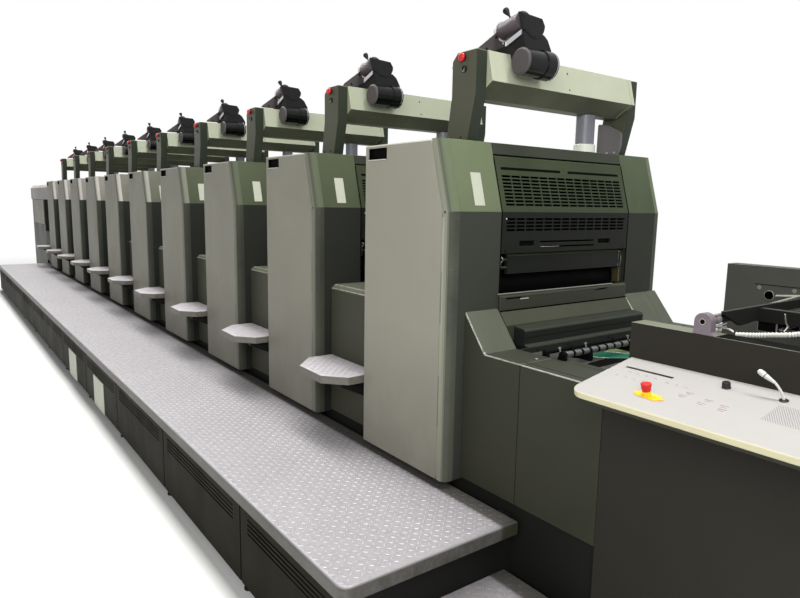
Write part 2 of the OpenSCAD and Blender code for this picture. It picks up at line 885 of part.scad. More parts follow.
module feed_cover_box() {
    box_front = feed_start + 133;
    y0 = transfer_inset + table_cover_width + 8;
    color(black) placed() translate([0, 0, base_height])
        across(y0, unit_width - y0) polygon([
            [feed_start + 60, table_height + 22], [box_front + 20, table_height + 22],
            [box_front + 20, table_height + 32], [box_front, table_height + 36],
            [box_front, table_height + 100], [box_front - 8, table_height + 110],
            [feed_start + 60, table_height + 116]
        ]);
}

// Two shafts over the table: brush wheels on the near one, and a bracket at its middle
module feed_rollers() {
    y0 = transfer_inset + table_cover_width;
    y1 = unit_width - y0;
    bar_x = feed_start + 394;
    bar_z = table_height + 48;
    back_x = feed_start + 299;
    back_z = table_height + 40;
    wheel_radius = 24;
    wheel_width = 12;
    wheel_from = 90;
    pair_step = 54;
    wheel_pitch = (y1 - y0 - 2 * wheel_from - pair_step - wheel_width) / 3;
    color(black) placed() translate([0, 0, base_height]) {
        bar_across(bar_x, bar_z, 11, y0 + 10, y1 - 10);
        bar_across(back_x, back_z, 9, y0 + 10, y1 - 10);
        for (y = [y0 + 20, unit_width / 2 - 12, y1 - 44]) across(y, y + 24) polygon([
            [back_x - 14, table_height], [bar_x + 14, table_height], [bar_x + 14, bar_z],
            [bar_x + 4, bar_z + 18], [bar_x - 10, bar_z + 12], [back_x - 14, back_z]
        ]);
        for (n = [0:3]) for (side = [0, pair_step]) {
            y = y0 + wheel_from + n * wheel_pitch + side;
            bar_across(bar_x, bar_z, wheel_radius, y, y + wheel_width);
        }
    }
}

// Feeder: open pile space between two walls, with the suction head over it
wall_start = 1530;
wall_thickness = 80;
drive_wall_thickness = 90;
wall_rise = 120;
drive_wall_start = 1190;
pile_low_y = transfer_inset + wall_thickness;
pile_high_y = unit_width - transfer_inset - drive_wall_thickness;
toe_height = 40;

module feeder_body() {
    front = table_height + base_height;
    color(dark_grey) placed() across(pile_low_y, pile_high_y) polygon([
        [feeder_start, 0], [press_near_x - 60, 0], [press_near_x - 60, 60], [wall_start, 60],
        [wall_start, front - 30], [wall_start - 30, front], [feeder_start, front]
    ]);
}

module feeder_wall(step_x, top) {
    polygon([
        [feeder_start, toe_height - base_height], [press_near_x, toe_height - base_height],
        [press_near_x, top], [step_x, top], [step_x, table_cover_height], [feeder_start, table_cover_height]
    ]);
}

// Shaft that the suction head hangs on, in a lug on one wall and a bore in the other
head_shaft_x = 1780;
head_shaft_z = feeder_wall_height + 41;
head_journal = 7;
journal_length = 15;
lug_radius = 27;
lug_thickness = 30;

module shaft_lug() {
    difference() {
        union() {
            bar_across(head_shaft_x, head_shaft_z, lug_radius, transfer_inset, transfer_inset + lug_thickness);
            block([head_shaft_x - lug_radius, transfer_inset, feeder_wall_height - over],
                [head_shaft_x + lug_radius, transfer_inset + lug_thickness, head_shaft_z]);
        }
        bar_across(head_shaft_x, head_shaft_z, head_journal + pin_clearance,
            transfer_inset - over, transfer_inset + lug_thickness + over);
    }
}

// Shelf under the console board, with its top against the board's underside
module console_shelf() {
    under = console_thickness / cos(console_tilt);
    shelf_front = -190;
    along(console_x + 45, console_x + console_length - 45) polygon([
        [transfer_inset + over, console_back_z - under], [transfer_inset + over, console_back_z - 124],
        [transfer_inset - 40, console_back_z - 124],
        [shelf_front + 10, console_z(shelf_front + 10) - under - 14], [shelf_front, console_z(shelf_front) - under],
        [transfer_inset, console_back_z - under]
    ]);
}

// Both walls; the drive one is taller, with a rimmed hole and smaller bores in its inner face
module feeder_walls() {
    bore_depth = 40;
    hole_x = drive_wall_start + 211;
    hole_z = feeder_wall_height - 17;
    color(dark_grey) placed() translate([0, 0, base_height]) {
        across(transfer_inset, pile_low_y) feeder_wall(wall_start, feeder_wall_height);
        shaft_lug();
        console_shelf();
        difference() {
            across(pile_high_y, unit_width - transfer_inset)
                feeder_wall(drive_wall_start, feeder_wall_height + wall_rise);
            bar_across(hole_x, hole_z, 16, pile_high_y - over, pile_high_y + bore_depth);
            bar_across(hole_x, hole_z, 21, pile_high_y - over, pile_high_y + 4);
            for (x = [hole_x - 48, hole_x + 110])
                bar_across(x, hole_z + 33, 8, pile_high_y - over, pile_high_y + bore_depth);
            bar_across(head_shaft_x, head_shaft_z, head_journal + pin_clearance,
                pile_high_y - over, pile_high_y + journal_length);
        }
    }
}

// Suction head: cross shaft, plate with slanted ends, rails back to a cross bar, and the head itself
module suction_head() {
    shaft_radius = 13;
    shaft_low = transfer_inset + lug_thickness + 2;
    shaft_high = pile_high_y - 2;
    plate_x = head_shaft_x + 10;
    plate_top = head_shaft_z + 27;
    plate_low = transfer_inset + 90;
    plate_high = pile_high_y - 36;
    rear_x = 2420;
    rail_low = head_shaft_z - 25;
    head_low_y = 560;
    head_high_y = unit_width - head_low_y;
    color(black) placed() translate([0, 0, base_height]) {
        bar_across(head_shaft_x, head_shaft_z, shaft_radius, shaft_low, shaft_high);
        bar_across(head_shaft_x, head_shaft_z, head_journal,
            shaft_low - journal_length, shaft_high + journal_length);
        along(plate_x, plate_x + 12) polygon([
            [plate_low, plate_top], [plate_low, plate_top - 10], [plate_low + 110, plate_top - 56],
            [745, plate_top - 28], [unit_width - 745, plate_top - 28], [plate_high - 110, plate_top - 56],
            [plate_high, plate_top - 10], [plate_high, plate_top]
        ]);
        for (y = [420, unit_width - 450]) block([head_shaft_x, y, rail_low], [rear_x, y + 30, rail_low + 45]);
        bar_across(rear_x, rail_low + 20, 22, pile_low_y, pile_high_y);
        across(head_low_y, head_high_y) polygon([
            [1900, rail_low - 20], [2330, rail_low - 20], [2350, rail_low + 20], [2350, rail_low + 70],
            [2330, rail_low + 85], [1960, rail_low + 85], [1900, rail_low + 50]
        ]);
        for (x = [2000, 2250]) bar_across(x, rail_low + 22, 12, 440, unit_width - 440);
        for (x = [1930, 2080]) for (y = [head_low_y + 40, head_high_y - 40]) translate([x, y, rail_low - 90]) {
            cylinder(r = 10, h = 90);
            cylinder(r1 = 20, r2 = 12, h = 16);
        }
    }
}

// Console board, tilted towards the operator
console_x = 1537;
console_front = -235;
console_back_z = feeder_wall_height - 122;
console_fall = 60;
console_tilt = atan(console_fall / (transfer_inset - console_front));

// Height of the board's top face at a place across the press
function console_z(y) = console_back_z - (transfer_inset - y) * tan(console_tilt);

// Puts a child on the board's top face at x along the press and y across it
module on_board(x, y) {
    translate([x, y, base_height + console_z(y)]) rotate([console_tilt, 0, 0]) children();
}

// Board with a round nose on its front and ends, and round front corners
module console_board() {
    nose = console_thickness / 2;
    corner = 50;
    reach = (transfer_inset - console_front) / cos(console_tilt);
    color(cream) placed() difference() {
        on_board(console_x, transfer_inset) {
            block([nose, corner - reach, -console_thickness], [console_length - nose, console_thickness, 0]);
            block([corner, nose - reach, -console_thickness], [console_length - corner, console_thickness, 0]);
            translate([corner, nose - reach, -nose]) rotate([0, 90, 0])
                cylinder(r = nose, h = console_length - 2 * corner);
            for (x = [nose, console_length - nose]) translate([x, corner - reach, -nose]) rotate([-90, 0, 0])
                cylinder(r = nose, h = reach - corner + console_thickness);
            for (x = [corner, console_length - corner]) translate([x, corner - reach, -nose]) {
                translate([0, 0, -nose]) cylinder(r = corner - nose, h = console_thickness);
                rotate_extrude() translate([corner - nose, 0]) circle(r = nose);
            }
        }
        block([console_x - over, transfer_inset, base_height],
            [console_x + console_length + over, unit_width / 2, 2 * base_height + console_back_z]);
    }
}

module console_controls() {
    color(stop_red) placed() {
        on_board(console_x + 217, -145) {
            translate([-44, -22, 0]) cube([88, 44, 3]);
            cylinder(r = 15, h = 22);
            translate([0, 0, 22]) cylinder(r1 = 17, r2 = 21, h = 22);
        }
        on_board(console_x + 364, 38) cylinder(r = 16, h = 24);
    }
}

// Gooseneck microphone: collar, stem and head
module microphone() {
    color(plate_metal) placed() on_board(console_x + 521, 43) {
        cylinder(r = 16, h = 6);
        translate([0, 0, 3]) rotate([0, -14, 0]) cylinder(r = 5, h = 72);
        translate([-18, 0, 73]) rotate([0, -38, 0]) {
            cylinder(r1 = 6, r2 = 13, h = 34);
            translate([0, 0, 34]) cylinder(r = 13, h = 30);
        }
    }
}

// Housing of the chain conveyor, over and beyond the last transfer housing
module delivery_conveyor() {
    core_inset = transfer_inset + 60;
    skirt_top = 600;
    color(black) placed() translate([0, 0, base_height]) {
        across(core_inset, unit_width - core_inset) polygon([
            [delivery_mid, 0], [delivery_near, 0], [delivery_near, transfer_height],
            [last_unit_x, transfer_height], [last_unit_x, hood_low], [delivery_mid, hood_low]
        ]);
        for (y = [transfer_inset, unit_width - core_inset])
            block([delivery_mid, y, 8], [delivery_near, y + 60, skirt_top]);
    }
}

module delivery_body() {
    wall = 90;
    ceiling = 160;
    low_y = transfer_inset;
    high_y = unit_width - transfer_inset;
    top = base_height + hood_low;
    color(dark_grey) placed() difference() {
        block([press_far_x, low_y, toe_height], [delivery_mid, high_y, top]);
        block([press_far_x - over, low_y + wall, toe_height - over], [bay_near, high_y - wall, top - ceiling]);
        block([bay_near - over, base_inset - over, toe_height - over],
            [delivery_mid + over, unit_width - base_inset + over, base_height]);
    }
}

module delivery_hood() {
    chamfer = 60;
    low_y = transfer_inset - 20;
    high_y = unit_width - transfer_inset + 20;
    color(cream) placed() translate([0, 0, base_height]) along(press_far_x, last_unit_x) polygon([
        [low_y, hood_low], [high_y, hood_low], [high_y, delivery_height - chamfer],
        [high_y - chamfer, delivery_height], [low_y + chamfer, delivery_height],
        [low_y, delivery_height - chamfer]
    ]);
}

// Lift-off panels on both sides of the delivery, two on a side
module delivery_panels() {
    panel_from = 260;
    panel_height = 494;
    panel_gap = 6;
    panel_length = (delivery_mid - press_far_x - panel_from) / 2;
    color(cover_grey) placed() translate([0, 0, base_height]) both_sides() for (n = [1:2])
        block([delivery_mid - n * panel_length, transfer_inset - 16, hood_low - panel_gap - panel_height],
            [delivery_mid - (n - 1) * panel_length - seam_gap, transfer_inset, hood_low - panel_gap]);
}

machine_base();
unit_cores();
operator_housings();
drive_housings();
corner_strips();
unit_top_covers();
unit_guards();
guard_bars();
printing_cylinders();
transfer_housings();
step_plates();
step_brackets();
gantry_posts();
gantry_beams();
gantry_cover_plates();
conduit_posts();
stop_buttons();
gallery_deck();
gallery_frames();
gallery_side_panels();
gallery_end_panels();
lower_step();
feed_side_covers();
feed_table();
feed_slope_guards();
feed_cover_box();
feed_rollers();
feeder_body();
feeder_walls();
suction_head();
console_board();
console_controls();
microphone();
delivery_body();
delivery_hood();
delivery_panels();
delivery_conveyor();
first_unit_guard();
first_unit_grilles();
side_door_01();
side_door_02();
side_door_03();
side_door_04();
side_door_05();
side_door_06();
side_door_07();
side_door_08();
side_door_09();
side_door_10();
ink_carriage_01();
ink_carriage_02();
ink_carriage_03();
ink_carriage_04();
ink_carriage_05();
ink_carriage_06();
ink_carriage_07();
ink_carriage_08();
ink_carriage_09();
ink_carriage_10();
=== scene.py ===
import json
import math

import bmesh
import bpy
from mathutils import Matrix, Vector

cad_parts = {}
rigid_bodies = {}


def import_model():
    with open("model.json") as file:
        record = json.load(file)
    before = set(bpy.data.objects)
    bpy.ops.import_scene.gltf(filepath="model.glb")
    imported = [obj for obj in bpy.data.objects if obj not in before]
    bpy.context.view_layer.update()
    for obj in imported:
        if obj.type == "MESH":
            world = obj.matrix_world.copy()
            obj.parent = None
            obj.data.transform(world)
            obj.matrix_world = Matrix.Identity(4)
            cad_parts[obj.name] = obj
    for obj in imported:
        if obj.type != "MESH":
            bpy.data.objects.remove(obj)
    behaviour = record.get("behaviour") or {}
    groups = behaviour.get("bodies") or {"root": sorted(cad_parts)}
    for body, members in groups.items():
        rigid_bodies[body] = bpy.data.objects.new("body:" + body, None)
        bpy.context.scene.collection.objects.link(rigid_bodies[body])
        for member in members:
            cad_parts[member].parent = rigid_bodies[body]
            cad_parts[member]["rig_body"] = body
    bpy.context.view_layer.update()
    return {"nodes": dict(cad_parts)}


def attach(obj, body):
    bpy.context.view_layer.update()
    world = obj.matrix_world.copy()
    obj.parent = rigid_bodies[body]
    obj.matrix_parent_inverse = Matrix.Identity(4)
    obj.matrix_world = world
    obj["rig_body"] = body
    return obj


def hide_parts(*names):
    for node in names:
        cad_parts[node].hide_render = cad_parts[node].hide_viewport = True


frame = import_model()
NODES = frame["nodes"]

# Press frame: X from the first unit's delivery side, Y from the side doors, Z from the machine base, in metres
ORIGIN = Vector((5.25, -0.411, 0.54))
FLOOR = -0.54
UNITS = range(1, 11)
PITCH, UNIT_WIDTH, UNIT_FRONT = 1.2, 1.6, 0.681
UNIT_TOP, LEAN_FROM, SETBACK = 1.565, 1.246, 0.09
LEAN = math.atan(SETBACK / (UNIT_TOP - LEAN_FROM))
BEAM_TOP = 1.967
UP, TO_FEEDER, TO_OPERATOR, TO_DRIVE = (0, 0, 1), (1, 0, 0), (0, -1, 0), (0, 1, 0)


def P(x, y, z, unit=1):
    """A point of the press frame, at a unit, as a point of the row frame."""
    return ORIGIN + Vector((x - (unit - 1) * PITCH, y, z))


# Camera
PHOTO_WIDTH, FOCAL_PIXELS, SENSOR = 800, 638.577, 36.0
CAMERA_AT, CAMERA_TURN = (2.80037811, -1.83093364, 1.27659058), (143.58343, -8.51574, 1.0008)


def make_camera():
    """The photograph's camera, solved from the edges of the units."""
    yaw, pitch, roll = (math.radians(a) for a in CAMERA_TURN)
    forward = Vector((math.cos(yaw) * math.cos(pitch), math.sin(yaw) * math.cos(pitch), math.sin(pitch)))
    right = forward.cross(Vector(UP)).normalized()
    up = right.cross(forward)
    side = right * math.cos(roll) + up * math.sin(roll)
    top = up * math.cos(roll) - right * math.sin(roll)
    data = bpy.data.cameras.new("camera")
    data.sensor_width = SENSOR
    data.lens = FOCAL_PIXELS / PHOTO_WIDTH * SENSOR
    data.clip_end = 200
    camera = bpy.data.objects.new("camera", data)
    place = Matrix((side, top, -forward)).transposed().to_4x4()
    place.translation = P(*CAMERA_AT)
    camera.matrix_world = place
    bpy.context.scene.collection.objects.link(camera)
    bpy.context.scene.camera = camera


# Materials
def srgb(r, g, b):
    """Linear colour of 0 to 255 screen values."""
    shares = (r / 255, g / 255, b / 255)
    return tuple(c / 12.92 if c <= 0.04045 else ((c + 0.055) / 1.055) ** 2.4 for c in shares) + (1,)


def darker(colour, share):
    return tuple(c * share for c in colour[:3]) + (1,)


class Nodes:
    """Short calls that add and link the nodes of a material or world; inputs are plain values or sockets."""

    def __init__(self, owner, out):
        owner.use_nodes = True
        self.owner, self.tree = owner, owner.node_tree
        self.tree.nodes.clear()
        self.out = self.add(out)

    def feed(self, socket, value):
        if isinstance(value, (int, float, tuple)):
            socket.default_value = value
        else:
            self.tree.links.new(value, socket)

    def add(self, kind, inputs=None, **settings):
        node = self.tree.nodes.new("ShaderNode" + kind)
        for key, value in settings.items():
            setattr(node, key, value)
        for key, value in (inputs or {}).items():
            self.feed(node.inputs[key], value)
        return node

    def math(self, operation, a, b=0):
        return self.add("Math", {0: a, 1: b}, operation=operation).outputs[0]

    def times(self, a, b):
        return self.math("MULTIPLY", a, b)

    def plus(self, a, b):
        return self.math("ADD", a, b)

    def ramp(self, value, *stops):
        """Piecewise mapping of a value: stops are (position, output value)."""
        node = self.add("ValToRGB", {0: value})
        elements = node.color_ramp.elements
        while len(elements) < len(stops):
            elements.new(0.5)
        for element, (position, level) in zip(elements, stops):
            element.position = position
            element.color = (level, level, level, 1)
        return node.outputs[0]

    def rise(self, value, low, high):
        return self.ramp(value, (low, 0.0), (high, 1.0))

    def span(self, value, low, high, start=0.0, end=1.0, **settings):
        """Maps a value between low and high to one between start and end."""
        inputs = {"Value": value, "From Min": low, "From Max": high, "To Min": start, "To Max": end}
        return self.add("MapRange", inputs, **settings).outputs[0]

    def mix(self, factor, a, b):
        return self.add("Mix", {0: factor, 6: a, 7: b}, data_type="RGBA").outputs[2]

    def lay(self, base, colour, value, share):
        """Lays a colour over the base by a share of a value."""
        return self.mix(self.times(value, share), base, colour)

    def axes(self, vector):
        return self.add("SeparateXYZ", {0: vector}).outputs


class Look(Nodes):
    """A new material with a principled shader; its noise lies in the object's own frame."""

    def __init__(self, name):
        super().__init__(bpy.data.materials.new(name), "OutputMaterial")
        self.shader = self.add("BsdfPrincipled")
        self.feed(self.out.inputs[0], self.shader.outputs[0])
        self.place = self.add("TexCoord").outputs["Object"]

    def noise(self, scale, detail, rough, stretch=None, distort=0):
        place = self.add("Mapping", {"Scale": stretch, "Vector": self.place}).outputs[0] if stretch else self.place
        return self.add("TexNoise", {"Scale": scale, "Detail": detail, "Roughness": rough, "Distortion": distort,
                                     "Vector": place}).outputs["Fac"]

    def normal(self):
        return self.axes(self.add("NewGeometry").outputs["True Normal"])

    def grain(self, value, strength, distance):
        return self.add("Bump", {"Strength": strength, "Distance": distance, "Height": value}).outputs[0]

    def shade(self, colour, rough, grain=None, shine=0.5, metallic=0.0):
        for key, value in (("Base Color", colour), ("Roughness", rough), ("Specular IOR Level", shine),
                           ("Metallic", metallic), ("Normal", grain)):
            if value is not None:
                self.feed(self.shader.inputs[key], value)
        return self.owner


SECOND_UNIT_X, DRIVE_SIDE_Y = 4.9, 0.9


def paint(name, rgb, rough=0.45, dirt=0.35, wear=0.0, foot=0.0, scratch=0.3, shine=0.3, dust_and_sheen=None,
          dust_and_sheen_from=(0.12, 0.3), front=None, front_from=(0.45, 0.75), level=None, under=None, beyond=None,
          top_highlight=None, shade_after_first=1.0, glare=None):
    """Satin machine paint with cloudy dirt, fine orange peel and faint scratches.

    Colours by where a face looks, as painted light and shade: dust upwards, part dusty film and part painted
    sheen; level straight up, a painted lit tone; front to the feeder and under down, both painted shade.
    By place: beyond on the drive side; rim = (height, colour), a painted highlight above a height; farther, painted
    shade that darkens all units after the first; and glare = (colour, X of none, X of all), a painted reflection
    that replaces the upward colour along the row.
    Wear chips it, and foot darkens it in patches towards the floor.
    """
    n, colour = Look(name), srgb(*rgb)
    clouds = n.rise(n.noise(1.7, 6, 0.62, distort=0.6), 0.3, 0.72)
    runs = n.rise(n.noise(0.9, 5, 0.7, (9, 9, 0.8)), 0.45, 0.8)
    x, y, z = n.axes(n.place)
    ahead, _, up = n.normal()
    base = colour
    # painted shade: faces turned towards the feeder take the darker front colour
    if front:
        base = n.mix(n.rise(ahead, *front_from), base, srgb(*front))
    # upward faces lighter: a dusty film and a painted sheen
    if dust_and_sheen:
        dust_and_sheen = srgb(*dust_and_sheen)
        # glare: a painted reflection that replaces the upward colour along the row
        if glare:
            dust_and_sheen = n.mix(n.span(x, glare[1], glare[2]), dust_and_sheen, srgb(*glare[0]))
        base = n.mix(n.rise(up, *dust_and_sheen_from), base, dust_and_sheen)
    # painted lit tone on level tops
    if level:
        base = n.mix(n.rise(up, 0.9, 0.98), base, srgb(*level))
    if beyond:
        base = n.mix(n.math("GREATER_THAN", y, DRIVE_SIDE_Y), base, srgb(*beyond))
    # painted shade on faces turned down
    if under:
        base = n.mix(n.rise(n.times(up, -1.0), 0.3, 0.7), base, srgb(*under))
    base = n.lay(base, darker(colour, 0.74), clouds, dirt)
    base = n.lay(base, darker(colour, 0.66), runs, dirt * 0.22)
    base = n.lay(base, darker(colour, 0.55), n.rise(n.noise(55, 3, 0.7), 0.62, 0.75), dirt * 0.45)
    scratches = n.ramp(n.noise(7, 2, 0.5, (0.5, 1, 20), 0.9), (0.7, 0.0), (0.708, 1.0), (0.716, 0.0))
    base = n.lay(base, tuple(min(1, c * 1.55 + 0.02) for c in colour[:3]) + (1,), scratches, scratch)
    # darker in patches towards the floor
    if foot:
        patches = n.ramp(n.noise(3.2, 5, 0.6, (1, 1, 0.7)), (0.2, 0.2), (0.8, 1.0))
        low_darkening = n.times(n.span(z, 0.5, 1.25, 1.0, 0.0), patches)
        base = n.lay(base, darker(colour, 0.45), low_darkening, foot)
    if wear:
        base = n.lay(base, srgb(176, 176, 168), n.ramp(n.noise(38, 5, 0.75), (0.46, 1.0), (0.6, 0.0)), wear)
    # painted highlight: a pale band along the top, above a height
    if top_highlight:
        base = n.mix(n.math("GREATER_THAN", z, top_highlight[0]), base, srgb(*top_highlight[1]))
    # painted shade: all units after the first are darker
    if shade_after_first < 1:
        base = n.lay(base, (0, 0, 0, 1), n.math("LESS_THAN", x, SECOND_UNIT_X), 1 - shade_after_first)
    gloss = n.plus(n.times(runs, 0.08), n.plus(n.times(clouds, 0.14), rough - 0.05))
    return n.shade(base, gloss, n.grain(n.noise(240, 2, 0.5), 0.25, 0.0006), shine)


def plastic(name, rgb, rough=0.4, grain=0.2, dirt=0.2, shine=0.4):
    """Moulded plastic with a fine grain and some grime."""
    n, colour = Look(name), srgb(*rgb)
    clouds = n.rise(n.noise(6, 5, 0.65), 0.35, 0.75)
    return n.shade(n.lay(colour, darker(colour, 0.6), clouds, dirt), n.plus(n.times(clouds, 0.15), rough),
                   n.grain(n.noise(700, 2, 0.6), grain, 0.0003), shine)


def metal(name, rgb, rough=0.35, metallic=1.0, brushed=None):
    """Bare metal, brushed along one axis if brushed is a stretch."""
    n, colour = Look(name), srgb(*rgb)
    clouds = n.rise(n.noise(5, 6, 0.65), 0.35, 0.72)
    fine = n.noise(60 if brushed else 180, 3, 0.6, brushed)
    gloss = n.plus(n.times(fine, 0.18), n.plus(n.times(clouds, 0.2), rough - 0.1))
    return n.shade(n.lay(colour, darker(colour, 0.5), clouds, 0.3), gloss, n.grain(fine, 0.1, 0.0004),
                   metallic=metallic)


def tread(name, rgb, dirt, edge=(62, 64, 52), beside=0.8):
    """Worn aluminium tread plate: speckled with grime, darker at its edge, with painted shadow beside the machine.
    """
    n, colour = Look(name), srgb(*rgb)
    clouds = n.rise(n.noise(1.3, 7, 0.68, distort=0.8), 0.32, 0.7)
    grime = n.rise(n.noise(26, 6, 0.8), 0.42, 0.66)
    base = n.mix(n.rise(n.normal()[2], 0.35, 0.8), srgb(*edge), colour)
    base = n.lay(base, darker(colour, 0.62), clouds, dirt * 0.7)
    base = n.lay(base, darker(colour, 0.48), grime, dirt)
    # painted shadow: the plate darkens beside the machine by a share of beside
    base = n.mix(n.span(n.axes(n.place)[1], -0.432, -0.408, 0.0, beside), base, srgb(40, 40, 28))
    return n.shade(base, n.plus(n.times(grime, 0.2), 0.36), n.grain(n.noise(320, 3, 0.6), 0.35, 0.0005), 0.22, 0.1)


# In these paints, the upward colour is a dusty film and a painted sheen, the front and under colours are painted
# shade, the level colour is a painted lit tone, the doors' top band is a painted highlight, the last share darkens
# all units after the first as painted shade, and glare is a painted reflection along the row.
SIDE = paint("side_paint", (147, 145, 133), 0.46, 0.26, foot=0.75, scratch=0.22, dust_and_sheen=(176, 176, 160), shine=0.1,
             top_highlight=(2.0955, (208, 208, 194)), shade_after_first=0.86)
STRIP = paint("strip_paint", (134, 136, 122), 0.42, 0.25, foot=0.3, dust_and_sheen=(106, 117, 92),
              front=(60, 63, 56), shine=0.08, shade_after_first=0.74,
              front_from=(0.2, 0.5), glare=((236, 230, 222), 3.3, -0.3))
FRONT = paint("front_paint", (56, 58, 53), 0.4, 0.28, foot=0.2, scratch=0.2, dust_and_sheen=(116, 126, 98), shine=0.1,
              shade_after_first=0.62, glare=((206, 200, 192), 2.4, -1.8))
DRIVE = paint("drive_paint", (46, 48, 43), 0.42, 0.28, foot=0.2, scratch=0.2, dust_and_sheen=(88, 98, 76), shine=0.06)
COVER = paint("cover_paint", (52, 56, 46), 0.42, 0.3, dust_and_sheen=(146, 154, 134), dust_and_sheen_from=(0.6, 0.9), shine=0.15)
DARK = paint("dark_paint", (54, 55, 45), 0.44, 0.34, foot=0.3, dust_and_sheen=(98, 101, 86), shine=0.12)
SLOPE = paint("slope_paint", (58, 60, 52), 0.44, 0.4, dust_and_sheen=(70, 71, 59), shine=0.1)
POST = paint("post_paint", (75, 76, 63), 0.4, 0.25, dust_and_sheen=(116, 118, 98), shine=0.15, front=(44, 50, 42))
# panels: dark grey, made darker still as painted shade
PANEL = paint("panel_paint", (30, 28, 20), 0.48, 0.4, foot=0.2, shine=0.02)
WALL = paint("wall_paint", (46, 44, 40), 0.44, 0.25, dust_and_sheen=(112, 116, 98), shine=0.06, beyond=(82, 82, 78))
FEED = paint("feed_cover_paint", (54, 55, 45), 0.44, 0.4, foot=0.3, dust_and_sheen=(94, 98, 86), shine=0.1,
             level=(66, 68, 60))
TRANSFER = paint("transfer_paint", (64, 65, 54), 0.44, 0.3, dust_and_sheen=(104, 107, 92), shine=0.12)
BOX = paint("cover_box_paint", (34, 36, 33), 0.42, 0.3, dust_and_sheen=(56, 60, 53), shine=0.1)
BLACK = paint("black_paint", (26, 26, 25), 0.5, 0.3, shine=0.12)
# near black for joints, seams and holes, and as painted shade inside the door grips and guard pockets
DEEP = paint("recess_black", (11, 11, 10), 0.6, 0.3, shine=0.02)
GRILLE = paint("grille_paint", (29, 31, 28), 0.44, 0.3, dust_and_sheen=(66, 74, 54), shine=0.08)
BEAM = paint("beam_paint", (165, 171, 147), 0.42, 0.25, dust_and_sheen=(190, 194, 174), under=(70, 70, 57),
             shine=0.2, shade_after_first=0.82)
HOOD = paint("hood_paint", (120, 115, 110), 0.4, 0.3, dust_and_sheen=(168, 162, 160))
PLATE = paint("cover_plate_paint", (100, 96, 98), 0.4, 0.3)
WORN = paint("worn_edge", (112, 114, 104), 0.36, 0.3, wear=0.7)
# painted shadow beside the machine: full share on the deck, a small one on the steps
TREAD = tread("checker_plate", (160, 156, 160), 0.42, (54, 54, 42))
LOZENGE = tread("checker_lozenges", (171, 168, 172), 0.24)
STEP = tread("step_casting", (184, 179, 184), 0.25, (98, 96, 86), 0.12)
CREAM = plastic("console_cream", (164, 161, 159), 0.42, 0.12, 0.12, 0.2)
CREAM_EDGE = plastic("console_edge", (196, 190, 160), 0.42, 0.12, 0.2, 0.2)
RED = plastic("button_red", (190, 28, 24), 0.28, 0.1, 0.2)
GLOSS_BLACK = plastic("carriage_black", (27, 28, 28), 0.42, 0.25, 0.3, 0.15)
RUBBER = plastic("roller_black", (9, 9, 10), 0.6, 0.3, 0.2, 0.04)
STEEL = metal("stem_metal", (190, 188, 182), 0.3)
TABLE = metal("table_steel", (120, 120, 116), 0.38, 0.8, (1, 14, 1))
LABEL = plastic("blank_plate", (184, 187, 172), 0.45, 0.05, 0.1, 0.2)
COLLAR = plastic("white_collar", (214, 216, 206), 0.4, 0.05, 0.1)
BRASSY = metal("yellow_metal", (74, 68, 42), 0.5, 0.4)
LUG = metal("lug_metal", (120, 110, 117), 0.55, 0.35)
FLANGE = plastic("flange_grey", (126, 126, 110), 0.5, 0.2, 0.3, 0.15)
TUBE = plastic("conduit_grey", (112, 112, 122), 0.35, 0.1, 0.2)
SILVER = metal("bright_plate", (196, 194, 198), 0.28, 0.9)
CARTRIDGE = plastic("cartridge_grey", (84, 74, 80), 0.42, 0.08, 0.25, 0.22)
SLEEVE = metal("sleeve_metal", (104, 106, 104), 0.32, 0.5)
GREEN = plastic("strip_green", (24, 96, 74), 0.5, 0.2, 0.3, 0.2)
OLIVE = plastic("strip_olive", (112, 118, 84), 0.5, 0.2, 0.4, 0.2)
DRUM = plastic("drum_black", (9, 11, 9), 0.22, 0.05, 0.2, 0.22)
DRUM_END = plastic("drum_end", (78, 73, 74), 0.5, 0.2, 0.5, 0.2)
BLACK_PLASTIC = plastic("knob_black", (28, 26, 27), 0.35, 0.2, 0.1)
YELLOW = plastic("plate_yellow", (232, 190, 22), 0.35, 0.1, 0.15)
KEY_PAD = plastic("key_pad", (168, 165, 164), 0.4, 0.05, 0.08)
KEY_GREY = plastic("key_grey", (138, 136, 138), 0.4, 0.05, 0.1)
KEY_PINK = plastic("key_rose", (164, 126, 132), 0.4, 0.05, 0.1)
PALE_GREY = plastic("pale_grey", (198, 197, 192), 0.35, 0.1, 0.25)

LOOKS = {
    "machine_base": BLACK, "unit_cores": DEEP, "operator_housings": FRONT, "drive_housings": DRIVE,
    "corner_strips": STRIP, "unit_top_covers": COVER, "unit_guards": GRILLE, "guard_bars": GRILLE,
    # near-black rubber: the cylinders' dark colour, deepened as painted shade in the nip
    "printing_cylinders": RUBBER, "transfer_housings": TRANSFER, "step_plates": STEP, "step_brackets": BLACK,
    "gantry_posts": POST, "gantry_beams": BEAM, "gantry_cover_plates": PLATE, "conduit_posts": SIDE,
    "stop_buttons": RED, "gallery_deck": TREAD, "gallery_frames": BLACK, "gallery_side_panels": PANEL,
    "gallery_end_panels": BLACK, "lower_step": TREAD, "feed_side_covers": FEED, "feed_table": TABLE,
    "feed_slope_guards": SLOPE, "feed_cover_box": BOX, "feed_rollers": RUBBER, "feeder_body": DARK,
    "feeder_walls": WALL, "suction_head": BLACK, "console_board": CREAM, "console_controls": RED,
    "microphone": STEEL, "delivery_body": DARK, "delivery_hood": HOOD, "delivery_panels": SIDE,
    "delivery_conveyor": BLACK, "first_unit_guard": GRILLE, "first_unit_grilles": GRILLE,
}
for i in UNITS:
    LOOKS[f"side_door_{i:02d}"] = SIDE
    LOOKS[f"ink_carriage_{i:02d}"] = GLOSS_BLACK


for name, look in LOOKS.items():
    NODES[name].data.materials.clear()
    NODES[name].data.materials.append(look)


